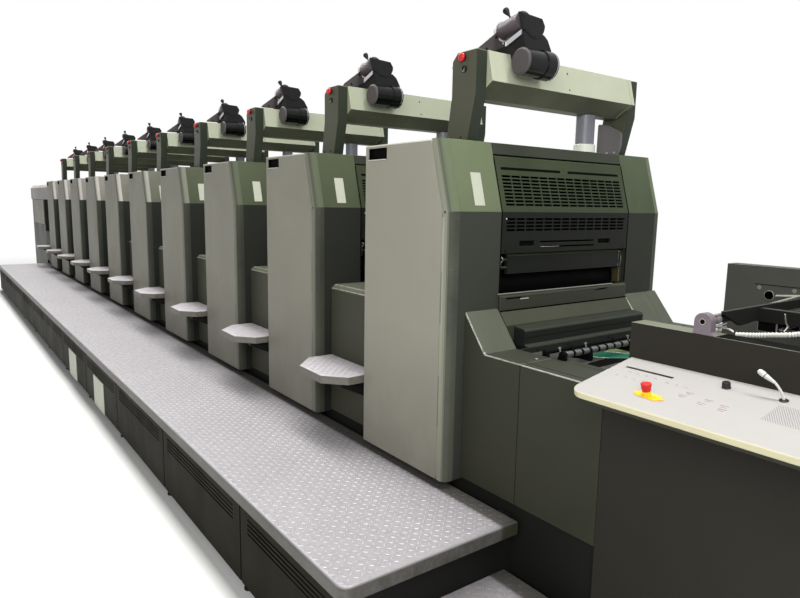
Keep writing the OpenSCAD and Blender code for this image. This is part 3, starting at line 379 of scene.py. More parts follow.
# Mesh tools
SHARP, CREASE, FLAT = math.radians(38), math.radians(25), math.radians(0.4)


def mesh_of(bm, name, looks, smooth=True):
    """Turns a bmesh into a mesh; smooth gives it crisp edges and smooth rounds."""
    bmesh.ops.recalc_face_normals(bm, faces=bm.faces)
    if smooth:
        for face in bm.faces:
            face.smooth = True
        for edge in bm.edges:
            edge.smooth = edge.is_manifold and edge.calc_face_angle(0) < SHARP
    mesh = bpy.data.meshes.new(name)
    bm.to_mesh(mesh)
    bm.free()
    for look in looks:
        mesh.materials.append(look)
    return mesh


def place_piece(mesh, name, body, replaced=(), unit=1):
    """Puts a mesh at a unit, as a piece that rides on a body and may stand for CAD nodes."""
    piece = bpy.data.objects.new(name, mesh)
    piece.location = (-(unit - 1) * PITCH, 0, 0)
    bpy.context.scene.collection.objects.link(piece)
    piece.modifiers.new("normals", "WEIGHTED_NORMAL").keep_sharp = True
    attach(piece, body)
    if replaced:
        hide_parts(*replaced)


def soften(node, width, least, edge_look=None):
    """A copy of a CAD node with rounded edges, which stands for it; edge_look is for its worn upper edges."""
    source = NODES[node]
    bm = bmesh.new()
    bm.from_mesh(source.data)
    bmesh.ops.remove_doubles(bm, verts=bm.verts, dist=2e-5)
    bmesh.ops.dissolve_limit(bm, angle_limit=FLAT, verts=bm.verts, edges=bm.edges)
    edges = [e for e in bm.edges if e.is_manifold and e.calc_face_angle(0) > CREASE and e.calc_length() > least]
    bmesh.ops.bevel(bm, geom=edges, offset=width, offset_type="OFFSET", segments=2, profile=0.5, affect="EDGES",
                    clamp_overlap=True, material=1 if edge_look else -1)
    for face in bm.faces:
        if face.material_index and not (0.2 < face.normal.z < 0.98 and face.normal.y < -0.2):
            face.material_index = 0
    looks = [source.data.materials[0]] + ([edge_look] if edge_look else [])
    name = node + "_shape"
    place_piece(mesh_of(bm, name, looks), name, source["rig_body"], (node,))


def rect(x0, y0, x1, y1):
    """The corners of a rectangle."""
    return [(x0, y0), (x1, y0), (x1, y1), (x0, y1)]


class Kit:
    """Collects solids in the press frame, at one unit, into one mesh."""

    def __init__(self, unit=1):
        self.bm = bmesh.new()
        self.at(unit)

    def at(self, unit):
        self.turn = Matrix.Translation(P(0, 0, 0, unit))

    def local(self, matrix):
        """Later solids are placed by a matrix in the press frame of unit 1."""
        self.turn = Matrix.Translation(P(0, 0, 0)) @ matrix
        return self

    def faces(self, points, faces, look=0, bevel=0.0, segments=2, rounded=None):
        """A solid of points and faces; bevel rounds its edges, or those that rounded picks."""
        verts = [self.bm.verts.new(self.turn @ Vector(p)) for p in points]
        made = [self.bm.faces.new([verts[i] for i in f]) for f in faces]
        for face in made:
            face.material_index = look
        if bevel:
            edges = {e for face in made for e in face.edges if rounded is None or rounded(e)}
            bmesh.ops.recalc_face_normals(self.bm, faces=made)
            bmesh.ops.bevel(self.bm, geom=list(edges), offset=bevel, offset_type="OFFSET", segments=segments,
                            profile=0.5, affect="EDGES", clamp_overlap=True)

    def loft(self, low, high, look=0, bevel=0.0, segments=2, rounded=None):
        """A solid between two outlines of equally many points."""
        n = len(low)
        sides = [(i, (i + 1) % n, n + (i + 1) % n, n + i) for i in range(n)]
        self.faces(low + high, [tuple(range(n)), tuple(range(n, 2 * n))] + sides, look, bevel, segments, rounded)

    def prism(self, outline, axis, low, high, look=0, bevel=0.0, segments=2, rounded=None):
        """An outline in the two other axes, in their order X, Y, Z, carried along an axis."""
        spot = {"x": lambda a, b, t: (t, a, b), "y": lambda a, b, t: (a, t, b), "z": lambda a, b, t: (a, b, t)}[axis]
        ends = [[spot(a, b, t) for a, b in outline] for t in (low, high)]
        self.loft(*ends, look, bevel, segments, rounded)

    def box(self, low, high, look=0, bevel=0.0):
        (x0, y0, z0), (x1, y1, z1) = low, high
        self.prism(rect(x0, y0, x1, y1), "z", z0, z1, look, bevel)

    def rings(self, rings, look=0):
        """Joins rings of equally many points into a skin with end caps."""
        verts = [[self.bm.verts.new(self.turn @ Vector(p)) for p in ring] for ring in rings]
        n = len(rings[0])
        skin = [(a[i], a[(i + 1) % n], b[(i + 1) % n], b[i]) for a, b in zip(verts, verts[1:]) for i in range(n)]
        for corners in skin + [verts[0], verts[-1]]:
            self.bm.faces.new(corners).material_index = look

    def lathe(self, at, direction, profile, sides=24, look=0):
        """A turned solid: profile is (distance along direction, radius)."""
        at, d = Vector(at), Vector(direction).normalized()
        a = d.orthogonal().normalized()
        b = d.cross(a)
        circle = [(math.cos(t), math.sin(t)) for t in (2 * math.pi * k / sides for k in range(sides))]
        self.rings([[at + d * h + (a * c + b * s) * r for c, s in circle] for h, r in profile], look)

    def rod(self, a, b, r, sides=16, look=0, chamfer=0.0):
        a, b = Vector(a), Vector(b)
        length = (b - a).length
        profile = [(0, r), (length, r)]
        if chamfer:
            profile = [(0, r - chamfer), (chamfer, r), (length - chamfer, r), (length, r - chamfer)]
        self.lathe(a, b - a, profile, sides, look)

    def tube(self, points, r, sides=8, look=0, steps=6, ribs=0.0):
        """A round tube along a smooth curve through points; ribs makes it corrugated."""
        path = smooth_path([Vector(p) for p in points], steps)
        rings = []
        up = (path[1] - path[0]).orthogonal().normalized()
        for k, p in enumerate(path):
            d = (path[min(k + 1, len(path) - 1)] - path[max(k - 1, 0)]).normalized()
            up = (up - d * up.dot(d)).normalized()
            side = d.cross(up)
            radius = r * (1 - ribs * (k % 2))
            rings.append([p + (up * math.cos(t) + side * math.sin(t)) * radius
                          for t in (2 * math.pi * j / sides for j in range(sides))])
        self.rings(rings, look)

    def done(self, name, slot, *looks, body="press", replaced=()):
        place_piece(mesh_of(self.bm, name, looks), name, body, replaced)


def smooth_path(points, steps):
    """Catmull-Rom curve through three or more points."""
    ends = [2 * points[0] - points[1]] + points + [2 * points[-1] - points[-2]]
    path = []
    for p0, p1, p2, p3 in zip(ends, ends[1:], ends[2:], ends[3:]):
        for k in range(steps):
            t = k / steps
            path.append(0.5 * ((2 * p1) + (p2 - p0) * t + (2 * p0 - 5 * p1 + 4 * p2 - p3) * t * t
                               + (3 * p1 - p0 - 3 * p2 + p3) * t ** 3))
    return path + [points[-1]]


def arc(cx, cy, r, start, end, count):
    """Points of an arc, with angles in degrees."""
    angles = (math.radians(start + (end - start) * k / (count - 1)) for k in range(count))
    return [(cx + r * math.cos(a), cy + r * math.sin(a)) for a in angles]


def inside(x, y, outline):
    """Whether a point lies in an outline."""
    hit = False
    for (ax, ay), (bx, by) in zip(outline, outline[1:] + outline[:1]):
        if (ay > y) != (by > y) and x < (bx - ax) * (y - ay) / (by - ay) + ax:
            hit = not hit
    return hit


# A lozenge's points as shares of its length, half width and height, and its faces
LOZENGE_POINTS = ((-0.5, 0, 0), (-0.2, -1, 0), (0.2, -1, 0), (0.5, 0, 0), (0.2, 1, 0), (-0.2, 1, 0), (-0.26, 0, 1),
                  (0.26, 0, 1))
LOZENGE_FACES = ((0, 1, 6), (1, 2, 7, 6), (2, 3, 7), (3, 4, 7), (4, 5, 6, 7), (5, 0, 6), (5, 4, 3, 2, 1, 0))


def studs(kit, outline, z, pitch, size, margin):
    """Raised lozenges of tread plate, crossing in turn, over an outline in X and Y."""
    length, width, height = size
    (x0, x1), (y0, y1) = ((min(v), max(v)) for v in zip(*outline))
    c = math.sqrt(0.5)
    for i in range(int((x1 - x0) / pitch) + 1):
        for j in range(int((y1 - y0) / pitch) + 1):
            x, y = x0 + (i + 0.5) * pitch, y0 + (j + 0.5) * pitch
            if all(inside(x + dx, y + dy, outline) for dx in (margin, -margin) for dy in (margin, -margin)):
                s = 1 if (i + j) % 2 else -1
                along, across = Vector((c, s * c, 0)) * length, Vector((-s * c, c, 0)) * width / 2
                middle, up = Vector((x, y, z)), Vector(UP) * height
                kit.faces([middle + along * a + across * b + up * h for a, b, h in LOZENGE_POINTS], LOZENGE_FACES)


# Covers with rounded edges
# Width of the rounding of each node's edges
ROUNDED = {
    "operator_housings": 0.004, "drive_housings": 0.004, "corner_strips": 0.0025, "unit_top_covers": 0.0025,
    "guard_bars": 0.002, "gantry_posts": 0.005, "gantry_beams": 0.003, "gantry_cover_plates": 0.003,
    "gallery_side_panels": 0.002, "feed_slope_guards": 0.004, "feed_cover_box": 0.004, "delivery_hood": 0.012,
    "delivery_panels": 0.004, "delivery_body": 0.008, "step_brackets": 0.003,
}
WORN_COVERS = {"feed_side_covers": 0.005, "feeder_walls": 0.004, "feeder_body": 0.004, "transfer_housings": 0.006}


def shape_covers():
    for i in UNITS:
        soften(f"side_door_{i:02d}", 0.004, least=0.05)
    for node, width in ROUNDED.items():
        soften(node, width, least=0.012)
    for node, width in WORN_COVERS.items():
        soften(node, width, least=0.03, edge_look=WORN)


# Gallery
DECK_FAR, DECK_NEAR, DECK_OUT, DECK_IN, DECK_ROUND = -11.799, 1.07, -0.778, 0.085, 0.045
DECK_TOP, DECK_EDGE = -0.04, 0.06
STUD, STUD_PITCH, STUD_SINK = (0.0235, 0.0085, 0.0017), 0.03, 0.0004
STEP_TOP, STEP_THICK, STEP_STUD = 0.361, 0.047, (0.019, 0.007, 0.0018)


def rounded_plan(x0, x1, front, back, r, count):
    """An outline in X and Y whose two front corners are round."""
    return ([(x0, back)] + arc(x0 + r, front + r, r, 180, 270, count) + arc(x1 - r, front + r, r, 270, 360, count)
            + [(x1, back)])


def deck_plan(inset=0.0):
    return rounded_plan(DECK_FAR + inset, DECK_NEAR - inset, DECK_OUT + inset, DECK_IN, DECK_ROUND, 7)


def on_top(z):
    """Picks edges that lie at a height of the press frame."""
    return lambda e: all(abs(v.co.z - ORIGIN.z - z) < 1e-4 for v in e.verts)


def make_gallery():
    kit = Kit()
    kit.prism(deck_plan(), "z", DECK_TOP - DECK_EDGE, DECK_TOP, bevel=0.013, segments=4, rounded=on_top(DECK_TOP))
    kit.done("deck_plate", "checker_plate", TREAD, replaced=("gallery_deck",))
    kit = Kit()
    studs(kit, deck_plan(0.004), DECK_TOP - STUD_SINK, STUD_PITCH, STUD, 0.009)
    kit.done("deck_studs", "checker_plate", LOZENGE)
    kit = Kit()
    plan, top = rect(1.0, -0.6, 1.42, DECK_IN), -0.29
    kit.prism(plan, "z", FLOOR, top, bevel=0.01, segments=3, rounded=on_top(top))
    studs(kit, plan, top - STUD_SINK, STUD_PITCH, STUD, 0.012)
    kit.done("lower_tread", "checker_plate", TREAD, replaced=("lower_step",))
    # blank plates on two of the panels
    kit = Kit()
    for x in (-4.09, -2.9):
        kit.box((x - 0.19, -0.7745, -0.495), (x + 0.19, -0.7698, -0.23), bevel=0.001)
    kit.done("panel_plates", "hood_paint", LABEL)


def step_plan(grow=0.0):
    far, near = -0.511 - grow, -0.008 + grow
    return [(far, 0.1), (far, -0.06 - grow), (far + 0.135, -0.19 - grow), (near - 0.112, -0.195 - grow),
            (near, -0.09), (near, 0.1)]


def make_steps():
    kit = Kit()
    foot, top = STEP_TOP - STEP_THICK, STEP_TOP - 0.0015
    foot_plan = [(x * 0.97 - 0.0078, y * 0.95 + 0.005) for x, y in step_plan(-0.004)]
    for i in UNITS:
        kit.at(i)
        kit.prism(step_plan(), "z", foot, top, bevel=0.007, segments=3, rounded=on_top(top))
        kit.prism(foot_plan, "z", foot - 0.004, foot + 0.004)
        studs(kit, step_plan(-0.006), STEP_TOP - STEP_STUD[2], 0.024, STEP_STUD, 0.007)
    kit.done("step_treads", "step_casting", STEP, replaced=("step_plates",))


# Units
UNITS_WITH_PLATES = 5


def lean_point(y, rise, proud=0.0):
    """A point on the leaning front of a unit, proud of its face."""
    return (UNIT_FRONT - rise * math.sin(LEAN) + proud * math.cos(LEAN), y,
            LEAN_FROM + rise * math.cos(LEAN) + proud * math.sin(LEAN))


def lean_plate(kit, low, high, ends, look=0):
    """A thin plate on the leaning front, between two corners in Y and rise and two distances from the face."""
    kit.loft(*([lean_point(y, rise, end) for y, rise in rect(*low, *high)] for end in ends), look)


def make_unit_fittings():
    """Blank plates on the leaning faces, strip screws, and the catches under the guards."""
    plates, screws, hooks = Kit(), Kit(), Kit()
    for i in UNITS:
        for kit in (plates, screws, hooks):
            kit.at(i)
        if i <= UNITS_WITH_PLATES:
            lean_plate(plates, (0.147, 0.028), (0.208, 0.181), (-0.0003, 0.0013))
        screws.lathe((0.64, 0.0, 1.242), TO_OPERATOR, [(-0.002, 0.005), (0.001, 0.005), (0.0016, 0.0034)], 12)
        # catches at both ends of the opening under the guard
        for y, s in ((0.333, 1), (1.278, -1)):
            size = 0.8 if s > 0 else 0.55
            hooks.prism([(0.636, 0.95), (0.66, 0.95), (0.664, 1.0), (0.652, 1.036), (0.636, 1.036)], "y",
                        y - 0.006, y + 0.002, 1, bevel=0.002)
            hooks.lathe((0.66, y - s * 0.008, 1.01), (0, s, 0),
                        [(0, 0.007 * size), (0.012, 0.007 * size), (0.016, 0.004 * size)], 14, 2 if s < 0 else 0)
        hooks.tube([(0.664, 0.333, 1.034), (0.67, 0.336, 1.026), (0.666, 0.338, 1.016), (0.66, 0.336, 1.008)],
                   0.0028, 8)
        hooks.box((0.6, 1.2715, 0.862), (0.655, 1.2885, 0.945), 2, bevel=0.002)
        hooks.box((0.56, 0.322, 0.8), (0.64, 0.336, 0.94), 1, bevel=0.002)
        # end of the guard bar, and the dark joint over it
        hooks.prism([(0.64, 0.952), (0.662, 0.952), (0.662, 1.036), (0.655, 1.043), (0.64, 1.043)], "y",
                    1.249, 1.268, 3, bevel=0.002)
    plates.done("blank_plates", "hood_paint", LABEL)
    screws.done("strip_screws", "black_paint", BLACK)
    hooks.done("guard_catches", "stem_metal", STEEL, BLACK, BRASSY, GRILLE)


def make_guard_details():
    """Guard screws, dark backs of the handle pockets as painted shade, and the bright strip in the lower slot."""
    for i in UNITS:
        kit = Kit(i)
        kit.lathe((0.6808, 0.34, 1.214), TO_FEEDER, [(0, 0.0042), (0.0012, 0.004), (0.0018, 0.0025)], 12)
        for y, z in ((1.252, 1.214), (0.34, 1.064), (1.252, 1.064)):
            kit.lathe((0.6808, y, z), TO_FEEDER, [(0, 0.005), (0.0012, 0.0045), (0.0015, 0.0025)], 12, 1)
        kit.box((0.6695, 0.581, 1.0765), (0.679, 0.725, 1.079), 2, bevel=0.0006)
        for y0, y1 in ((0.347, 0.766), (0.825, 1.244)):
            lean_plate(kit, (y0, 0.2025), (y1, 0.2155), (-0.003, 0.0005), 1)
        # handle pockets: near-black back and top as painted shade
        for y in (0.434, 1.032):
            kit.box((0.6702, y + 0.001, 1.085), (0.6712, y + 0.103, 1.109), 1)
            kit.box((0.6702, y + 0.0005, 1.1075), (0.679, y + 0.1035, 1.1098), 1)
        body = "guard_01" if i == 1 else "press"
        kit.done(f"guard_screws_{i:02d}", "stem_metal", PALE_GREY, DEEP, HOOD, body=body)
    # dark joints beside the guards
    kit = Kit()
    for i in UNITS:
        kit.at(i)
        for y0, y1 in ((0.3065, 0.3145), (1.2855, 1.2935)):
            kit.box((0.679, y0, 0.87), (0.6815, y1, LEAN_FROM))
            lean_plate(kit, (y0, 0.0), (y1, 0.262), (-0.002, 0.0006))
    kit.done("guard_joints", "black_paint", DEEP)


def make_door_grips():
    """Painted shade: a dark lining in each door's grip recess, with a pale lip at its foot."""
    kit = Kit()
    x0, x1, z0, z1 = 0.029, 0.189, 1.4905, 1.5455
    # painted shade: near-black lining on the recess's back and sides
    kit.box((x0, 0.0208, z0), (x1, 0.0217, z1))
    for low, high in (((x0, 0.0045, z1 - 0.0012), (x1, 0.021, z1)), ((x0, 0.0045, z0), (x1, 0.021, z0 + 0.0012)),
                      ((x0, 0.0045, z0), (x0 + 0.0012, 0.021, z1)), ((x1 - 0.0012, 0.0045, z0), (x1, 0.021, z1))):
        kit.box(low, high)
    kit.box((x0 + 0.001, -0.0014, z0 - 0.0055), (x1 - 0.001, 0.0035, z0 + 0.0015), 1, bevel=0.0012)
    mesh = mesh_of(kit.bm, "door_grip", (DEEP, PALE_GREY), smooth=False)
    for i in UNITS:
        place_piece(mesh, f"door_grip_{i:02d}", f"door_{i:02d}", unit=i)


# Feed table and feeder
def make_feed_details():
    """Fittings of the feed board, its table and its covers."""
    kit = Kit()
    # rod, cut-outs and crease of the sloping board
    kit.rod((0.692, 0.29, 0.8635), (0.692, 1.165, 0.8635), 0.0026, 8)
    kit.box((0.6945, 0.345, 0.836), (0.6962, 0.45, 0.843), 1)
    kit.prism([(1.01, 0.836), (1.105, 0.838), (1.13, 0.846), (1.04, 0.844)], "x", 0.6945, 0.6962, 1)
    kit.box((0.6945, 0.44, 0.83), (0.6972, 0.5, 0.835), 2, bevel=0.0008)
    kit.box((0.6935, 0.309, 0.7795), (0.699, 1.291, 0.785), 1)
    # grooves and worn edge of the operator cover
    kit.box((1.012, 0.1445, 0.6255), (1.317, 0.1475, 0.6264), 1)
    kit.box((1.023, 0.0994, 0.6235), (1.331, 0.1015, 0.6266), 2, bevel=0.0005)
    kit.box((1.15, 0.305, 0.6255), (1.43, 0.307, 0.6264), 1)
    kit.lathe((0.997, 0.234, 0.626), UP, [(-0.001, 0.006), (0.001, 0.006), (0.0015, 0.003)], 12, 2)
    kit.lathe((0.818, 0.0995, 0.632), TO_OPERATOR, [(-0.001, 0.005), (0.0004, 0.005), (0.0006, 0.002)], 12, 2)
    # guides on the table
    table = 0.6
    kit.prism([(1.01, 0.59), (1.046, 0.556), (1.098, 0.599), (1.149, 0.678), (1.17, 0.74), (1.102, 0.747),
               (1.012, 0.687)], "z", table - 0.001, table + 0.004, 3, bevel=0.001)
    kit.prism([(1.006, 0.691), (1.04, 0.712), (1.099, 0.752), (1.13, 0.86), (1.016, 0.873), (0.99, 0.79)], "z",
              table - 0.001, table + 0.005, 4, bevel=0.001)
    kit.prism([(1.022, 0.37), (1.113, 0.389), (1.092, 0.59), (1.056, 0.55), (1.019, 0.483)], "z",
              table - 0.001, table + 0.003, 5, bevel=0.0008)
    kit.prism([(1.115, 0.389), (1.175, 0.37), (1.168, 0.593), (1.149, 0.67), (1.095, 0.594)], "z",
              table - 0.001, table + 0.002, 1)
    kit.lathe((1.2, 0.416, table), UP, [(-0.001, 0.007), (0.003, 0.007), (0.004, 0.004)], 12, 2)
    # lip and seam of the cover box
    kit.box((0.812, 0.359, 0.668), (0.8146, 1.29, 0.67), 1)
    kit.done("feed_fittings", "stem_metal", STEEL, DEEP, PALE_GREY, GREEN, OLIVE, TABLE)
    # board under the cover box
    kit = Kit()
    kit.box((0.8, 0.3, 0.599), (0.836, 1.291, 0.627), 0, bevel=0.0015)
    kit.box((0.8, 0.3, 0.6265), (0.833, 1.291, 0.629), 1)
    for y in (0.42, 0.64, 0.96, 1.18):
        kit.lathe((0.8358, y, 0.613), TO_FEEDER, [(-0.001, 0.0045), (0.0012, 0.0045), (0.0018, 0.003)], 12, 1)
    kit.done("cover_box_board", "black_paint", BOX, DEEP)
    # shafts over the table, with sleeves and brackets
    kit = Kit()
    first, last, pitch, x, z = 0.298, 1.302, 0.0565, 1.075, 0.648
    kit.rod((x, first, z), (x, last, z), 0.0105, 20, chamfer=0.001)
    kit.rod((0.98, first, 0.64), (0.98, last, 0.64), 0.009, 16, chamfer=0.001)
    for k in range(17):
        y = first + 0.03 + k * pitch
        kit.lathe((x, y, z), TO_DRIVE, [(0, 0.01), (0.0005, 0.013), (0.002, 0.014), (0.038, 0.014),
                                        (0.0395, 0.013), (0.04, 0.01)], 22, 1)
        kit.lathe((x, y + 0.044, z), TO_DRIVE, [(0, 0.01), (0.0006, 0.015), (0.006, 0.015), (0.0066, 0.01)], 22)
    for y in (0.302, 0.476, 0.788, 1.112, 1.276):
        kit.prism([(0.968, 0.6), (1.092, 0.6), (1.094, 0.622), (1.088, 0.656), (1.076, 0.666), (1.062, 0.66),
                   (1.05, 0.622), (1.0, 0.62), (0.992, 0.646), (0.978, 0.654), (0.967, 0.646)], "y",
                  y, y + 0.018, bevel=0.002)
        kit.lathe((1.06, y + 0.009, 0.66), (-0.3, 0, 1),
                  [(0, 0.004), (0.012, 0.004), (0.013, 0.0075), (0.02, 0.0075), (0.021, 0.005)], 14, 1)
    kit.done("table_shafts", "roller_black", RUBBER, SLEEVE, replaced=("feed_rollers",))
    # the covers reach the drive side there
    kit = Kit()
    for outline in ([(UNIT_FRONT, 0.008), (1.0245, 0.008), (1.0245, 0.626), (0.815, 0.626), (UNIT_FRONT, 0.797)],
                    rect(1.0275, 0.008, 1.437, 0.626)):
        kit.prism(outline, "y", 1.4995, UNIT_WIDTH, bevel=0.004)
    kit.done("drive_flank_covers", "dark_paint", FEED)
    kit = Kit()
    kit.prism([(0.741, 0.628), (0.834, 0.628), (0.834, 0.632), (0.814, 0.636), (0.814, 0.7), (0.806, 0.71),
               (0.741, 0.716)], "y", 1.24, 1.2915, bevel=0.003)
    kit.done("cover_box_end", "black_paint", BOX)


def make_feeder_details():
    """Lug, shaft sleeve, links and flanges at the front of the suction head, and the drive wall's fittings."""
    kit = Kit()
    x, z, r = 1.78, 0.927, 0.0276
    lug = [(x - r, 0.8865), (x - r, z)] + arc(x, z, r, 170, 10, 15) + [(x + r, z), (x + r, 0.8865)]
    kit.prism(lug, "y", 0.0985, 0.1306, 0, bevel=0.0012)
    kit.prism([(x - r - 0.004, 0.8862), (x - r, 0.896), (x + r, 0.896), (x + r + 0.016, 0.8862)], "y",
              0.0982, 0.1309, 0, bevel=0.0012)
    kit.lathe((x, 0.0992, z), TO_OPERATOR, [(0, 0.0098), (0.001, 0.0098), (0.0011, 0.0078)], 20, 1)
    kit.lathe((x, 0.0988, z), TO_OPERATOR, [(0, 0.0078), (0.0016, 0.0078)], 20, 2)
    kit.lathe((x, 0.13, z), TO_DRIVE, [(0, 0.0136), (0.002, 0.0142), (0.04, 0.0142), (0.042, 0.0165),
                                       (0.058, 0.0165), (0.06, 0.0136)], 24)
    # flanges of the cross plate
    front = 1.7896
    kit.prism([(0.151, 0.9445), (0.279, 0.9475), (0.349, 0.941), (0.759, 0.962), (1.34, 0.964), (1.34, 0.96),
               (0.759, 0.958), (0.349, 0.937), (0.279, 0.9435), (0.151, 0.9405)], "x",
              front - 0.01, front + 0.001, 3)
    kit.prism([(0.239, 0.942), (0.35, 0.893), (0.385, 0.894), (0.281, 0.94)], "x", front - 0.012, front, 3,
              bevel=0.001)
    kit.prism([(0.385, 0.9015), (0.773, 0.91), (1.15, 0.906), (1.15, 0.903), (0.773, 0.907), (0.385, 0.8985)],
              "x", front - 0.004, front + 0.001, 3)
    # links between the shaft and the plate
    kit.tube([(1.745, 0.2, 0.893), (1.776, 0.2, 0.899), (1.812, 0.2, 0.897), (1.83, 0.2, 0.891)], 0.0045, 8, 1)
    kit.tube([(1.79, 0.14, 0.903), (1.79, 0.185, 0.908), (1.79, 0.228, 0.911)], 0.004, 8, 1)
    kit.tube([(1.79, 0.151, 0.89), (1.79, 0.19, 0.896), (1.79, 0.228, 0.901)], 0.0032, 8, 1)
    kit.tube([(1.95, 0.258, 0.962), (1.95, 0.268, 0.937), (1.95, 0.285, 0.92), (1.95, 0.262, 0.906)], 0.0024, 8, 1)
    # pale bellows from the wall to the head
    kit.tube([(1.846, 0.186, 0.888), (1.897, 0.186, 0.895), (1.94, 0.186, 0.903), (1.996, 0.19, 0.913),
              (2.03, 0.2, 0.922)], 0.0085, 12, 4, steps=10, ribs=0.22)
    # carriers under the cross plate
    for y0, y1, z0, z1 in ((0.43, 0.47, 0.865, 0.915), (0.52, 0.56, 0.872, 0.92), (0.62, 0.65, 0.85, 0.905)):
        kit.box((1.795, y0, z0), (1.86, y1, z1), 2, bevel=0.004)
        kit.rod((1.792, (y0 + y1) / 2, z0 + 0.012), (1.87, (y0 + y1) / 2, z0 + 0.012), 0.006, 12, 1)
    # drive wall: rims of the holes, label strip and fold; and a long dark strip on the operator side
    wall = 1.4098
    kit.lathe((1.401, wall, 0.869), TO_OPERATOR,
              [(-0.001, 0.024), (0.002, 0.0235), (0.003, 0.0212), (-0.001, 0.021)], 28, 3)
    for hole in (1.353, 1.511):
        kit.lathe((hole, wall, 0.902), TO_OPERATOR, [(-0.001, 0.0105), (0.001, 0.0102), (0.0015, 0.0082)], 16, 3)
    kit.prism([(1.43, 0.868), (1.433, 0.876), (1.545, 0.889), (1.545, 0.88)], "y", wall - 0.003, wall + 0.0005, 4,
              bevel=0.0005)
    kit.prism([(1.33, 0.92), (2.4, 0.925), (2.4, 0.922), (1.33, 0.917)], "y", wall - 0.0006, wall + 0.0005, 2)
    kit.box((1.822, 0.1045, 0.8855), (3.29, 0.1785, 0.8868), 2)
    kit.done("feeder_fittings", "stem_metal", LUG, STEEL, DEEP, FLANGE, PALE_GREY)


# Gantry
def make_gantry_fittings():
    """Stop buttons, key switches, screws and conduits of the gantries."""
    buttons, rings, bolts = Kit(), Kit(), Kit()
    for i in UNITS:
        for kit in (buttons, rings, bolts):
            kit.at(i)
        face = 0.193
        rings.lathe((0.516, face, 1.938), TO_OPERATOR,
                    [(0, 0.015), (0.002, 0.015), (0.003, 0.012), (0.01, 0.0115)], 24, 1)
        buttons.lathe((0.516, face - 0.008, 1.938), TO_OPERATOR,
                      [(0, 0.013), (0.002, 0.0175), (0.007, 0.02), (0.012, 0.019), (0.0155, 0.015),
                       (0.017, 0.008)], 28)
        rings.lathe((0.523, face, 1.887), TO_OPERATOR,
                    [(0, 0.0155), (0.005, 0.0155), (0.007, 0.014), (0.007, 0.0095), (0.0045, 0.009)], 24, 1)
        rings.tube([(0.523 + x, face - 0.007, 1.887 + z) for x, z in arc(0, 0, 0.0118, 195, 320, 7)], 0.0009, 6,
                   steps=3)
        rings.box((0.5222, face - 0.0055, 1.882), (0.5236, face - 0.004, 1.891), 2)
        # knob on the back of the post
        rings.lathe((0.4365, face + 0.016, 1.908), (-1, 0, 0),
                    [(-0.001, 0.012), (0.002, 0.012), (0.003, 0.0095), (0.009, 0.0105), (0.012, 0.008)], 18, 2)
        # small screws at the middle of the beam, at the cover plate's foot and at the post's foot
        for zz in (1.85, 1.93):
            bolts.lathe((0.6348 - (zz - 1.83) * 0.2555, 0.8, zz), (1, 0, 0.25),
                        [(-0.001, 0.0045), (0.0015, 0.0042), (0.002, 0.003)], 10)
        for xx in (0.435, 0.49, 0.54):
            rings.lathe((xx, 1.322, 1.58), TO_OPERATOR, [(-0.001, 0.006), (0.003, 0.0055), (0.004, 0.0035)], 12)
        for xx in (0.44, 0.51):
            bolts.lathe((xx, face, 1.585), TO_OPERATOR, [(-0.001, 0.005), (0.0025, 0.0045), (0.0035, 0.003)], 12)
    buttons.done("stop_button_heads", "button_red", RED, replaced=("stop_buttons",))
    rings.done("key_switches", "stem_metal", STEEL, BLACK, PALE_GREY)
    bolts.done("gantry_screws", "black_paint", BLACK)
    # conduit: grey tube in a white collar
    kit = Kit()
    for i in UNITS:
        kit.at(i)
        at = (0.503, 1.1, UNIT_TOP)
        kit.lathe(at, UP, [(0, 0.05), (0.2, 0.05)], 28)
        kit.lathe(at, UP, [(0, 0.058), (0.043, 0.058), (0.047, 0.054), (0.047, 0.05)], 28, 1)
    kit.done("conduit_tubes", "side_paint", TUBE, COLLAR, replaced=("conduit_posts",))


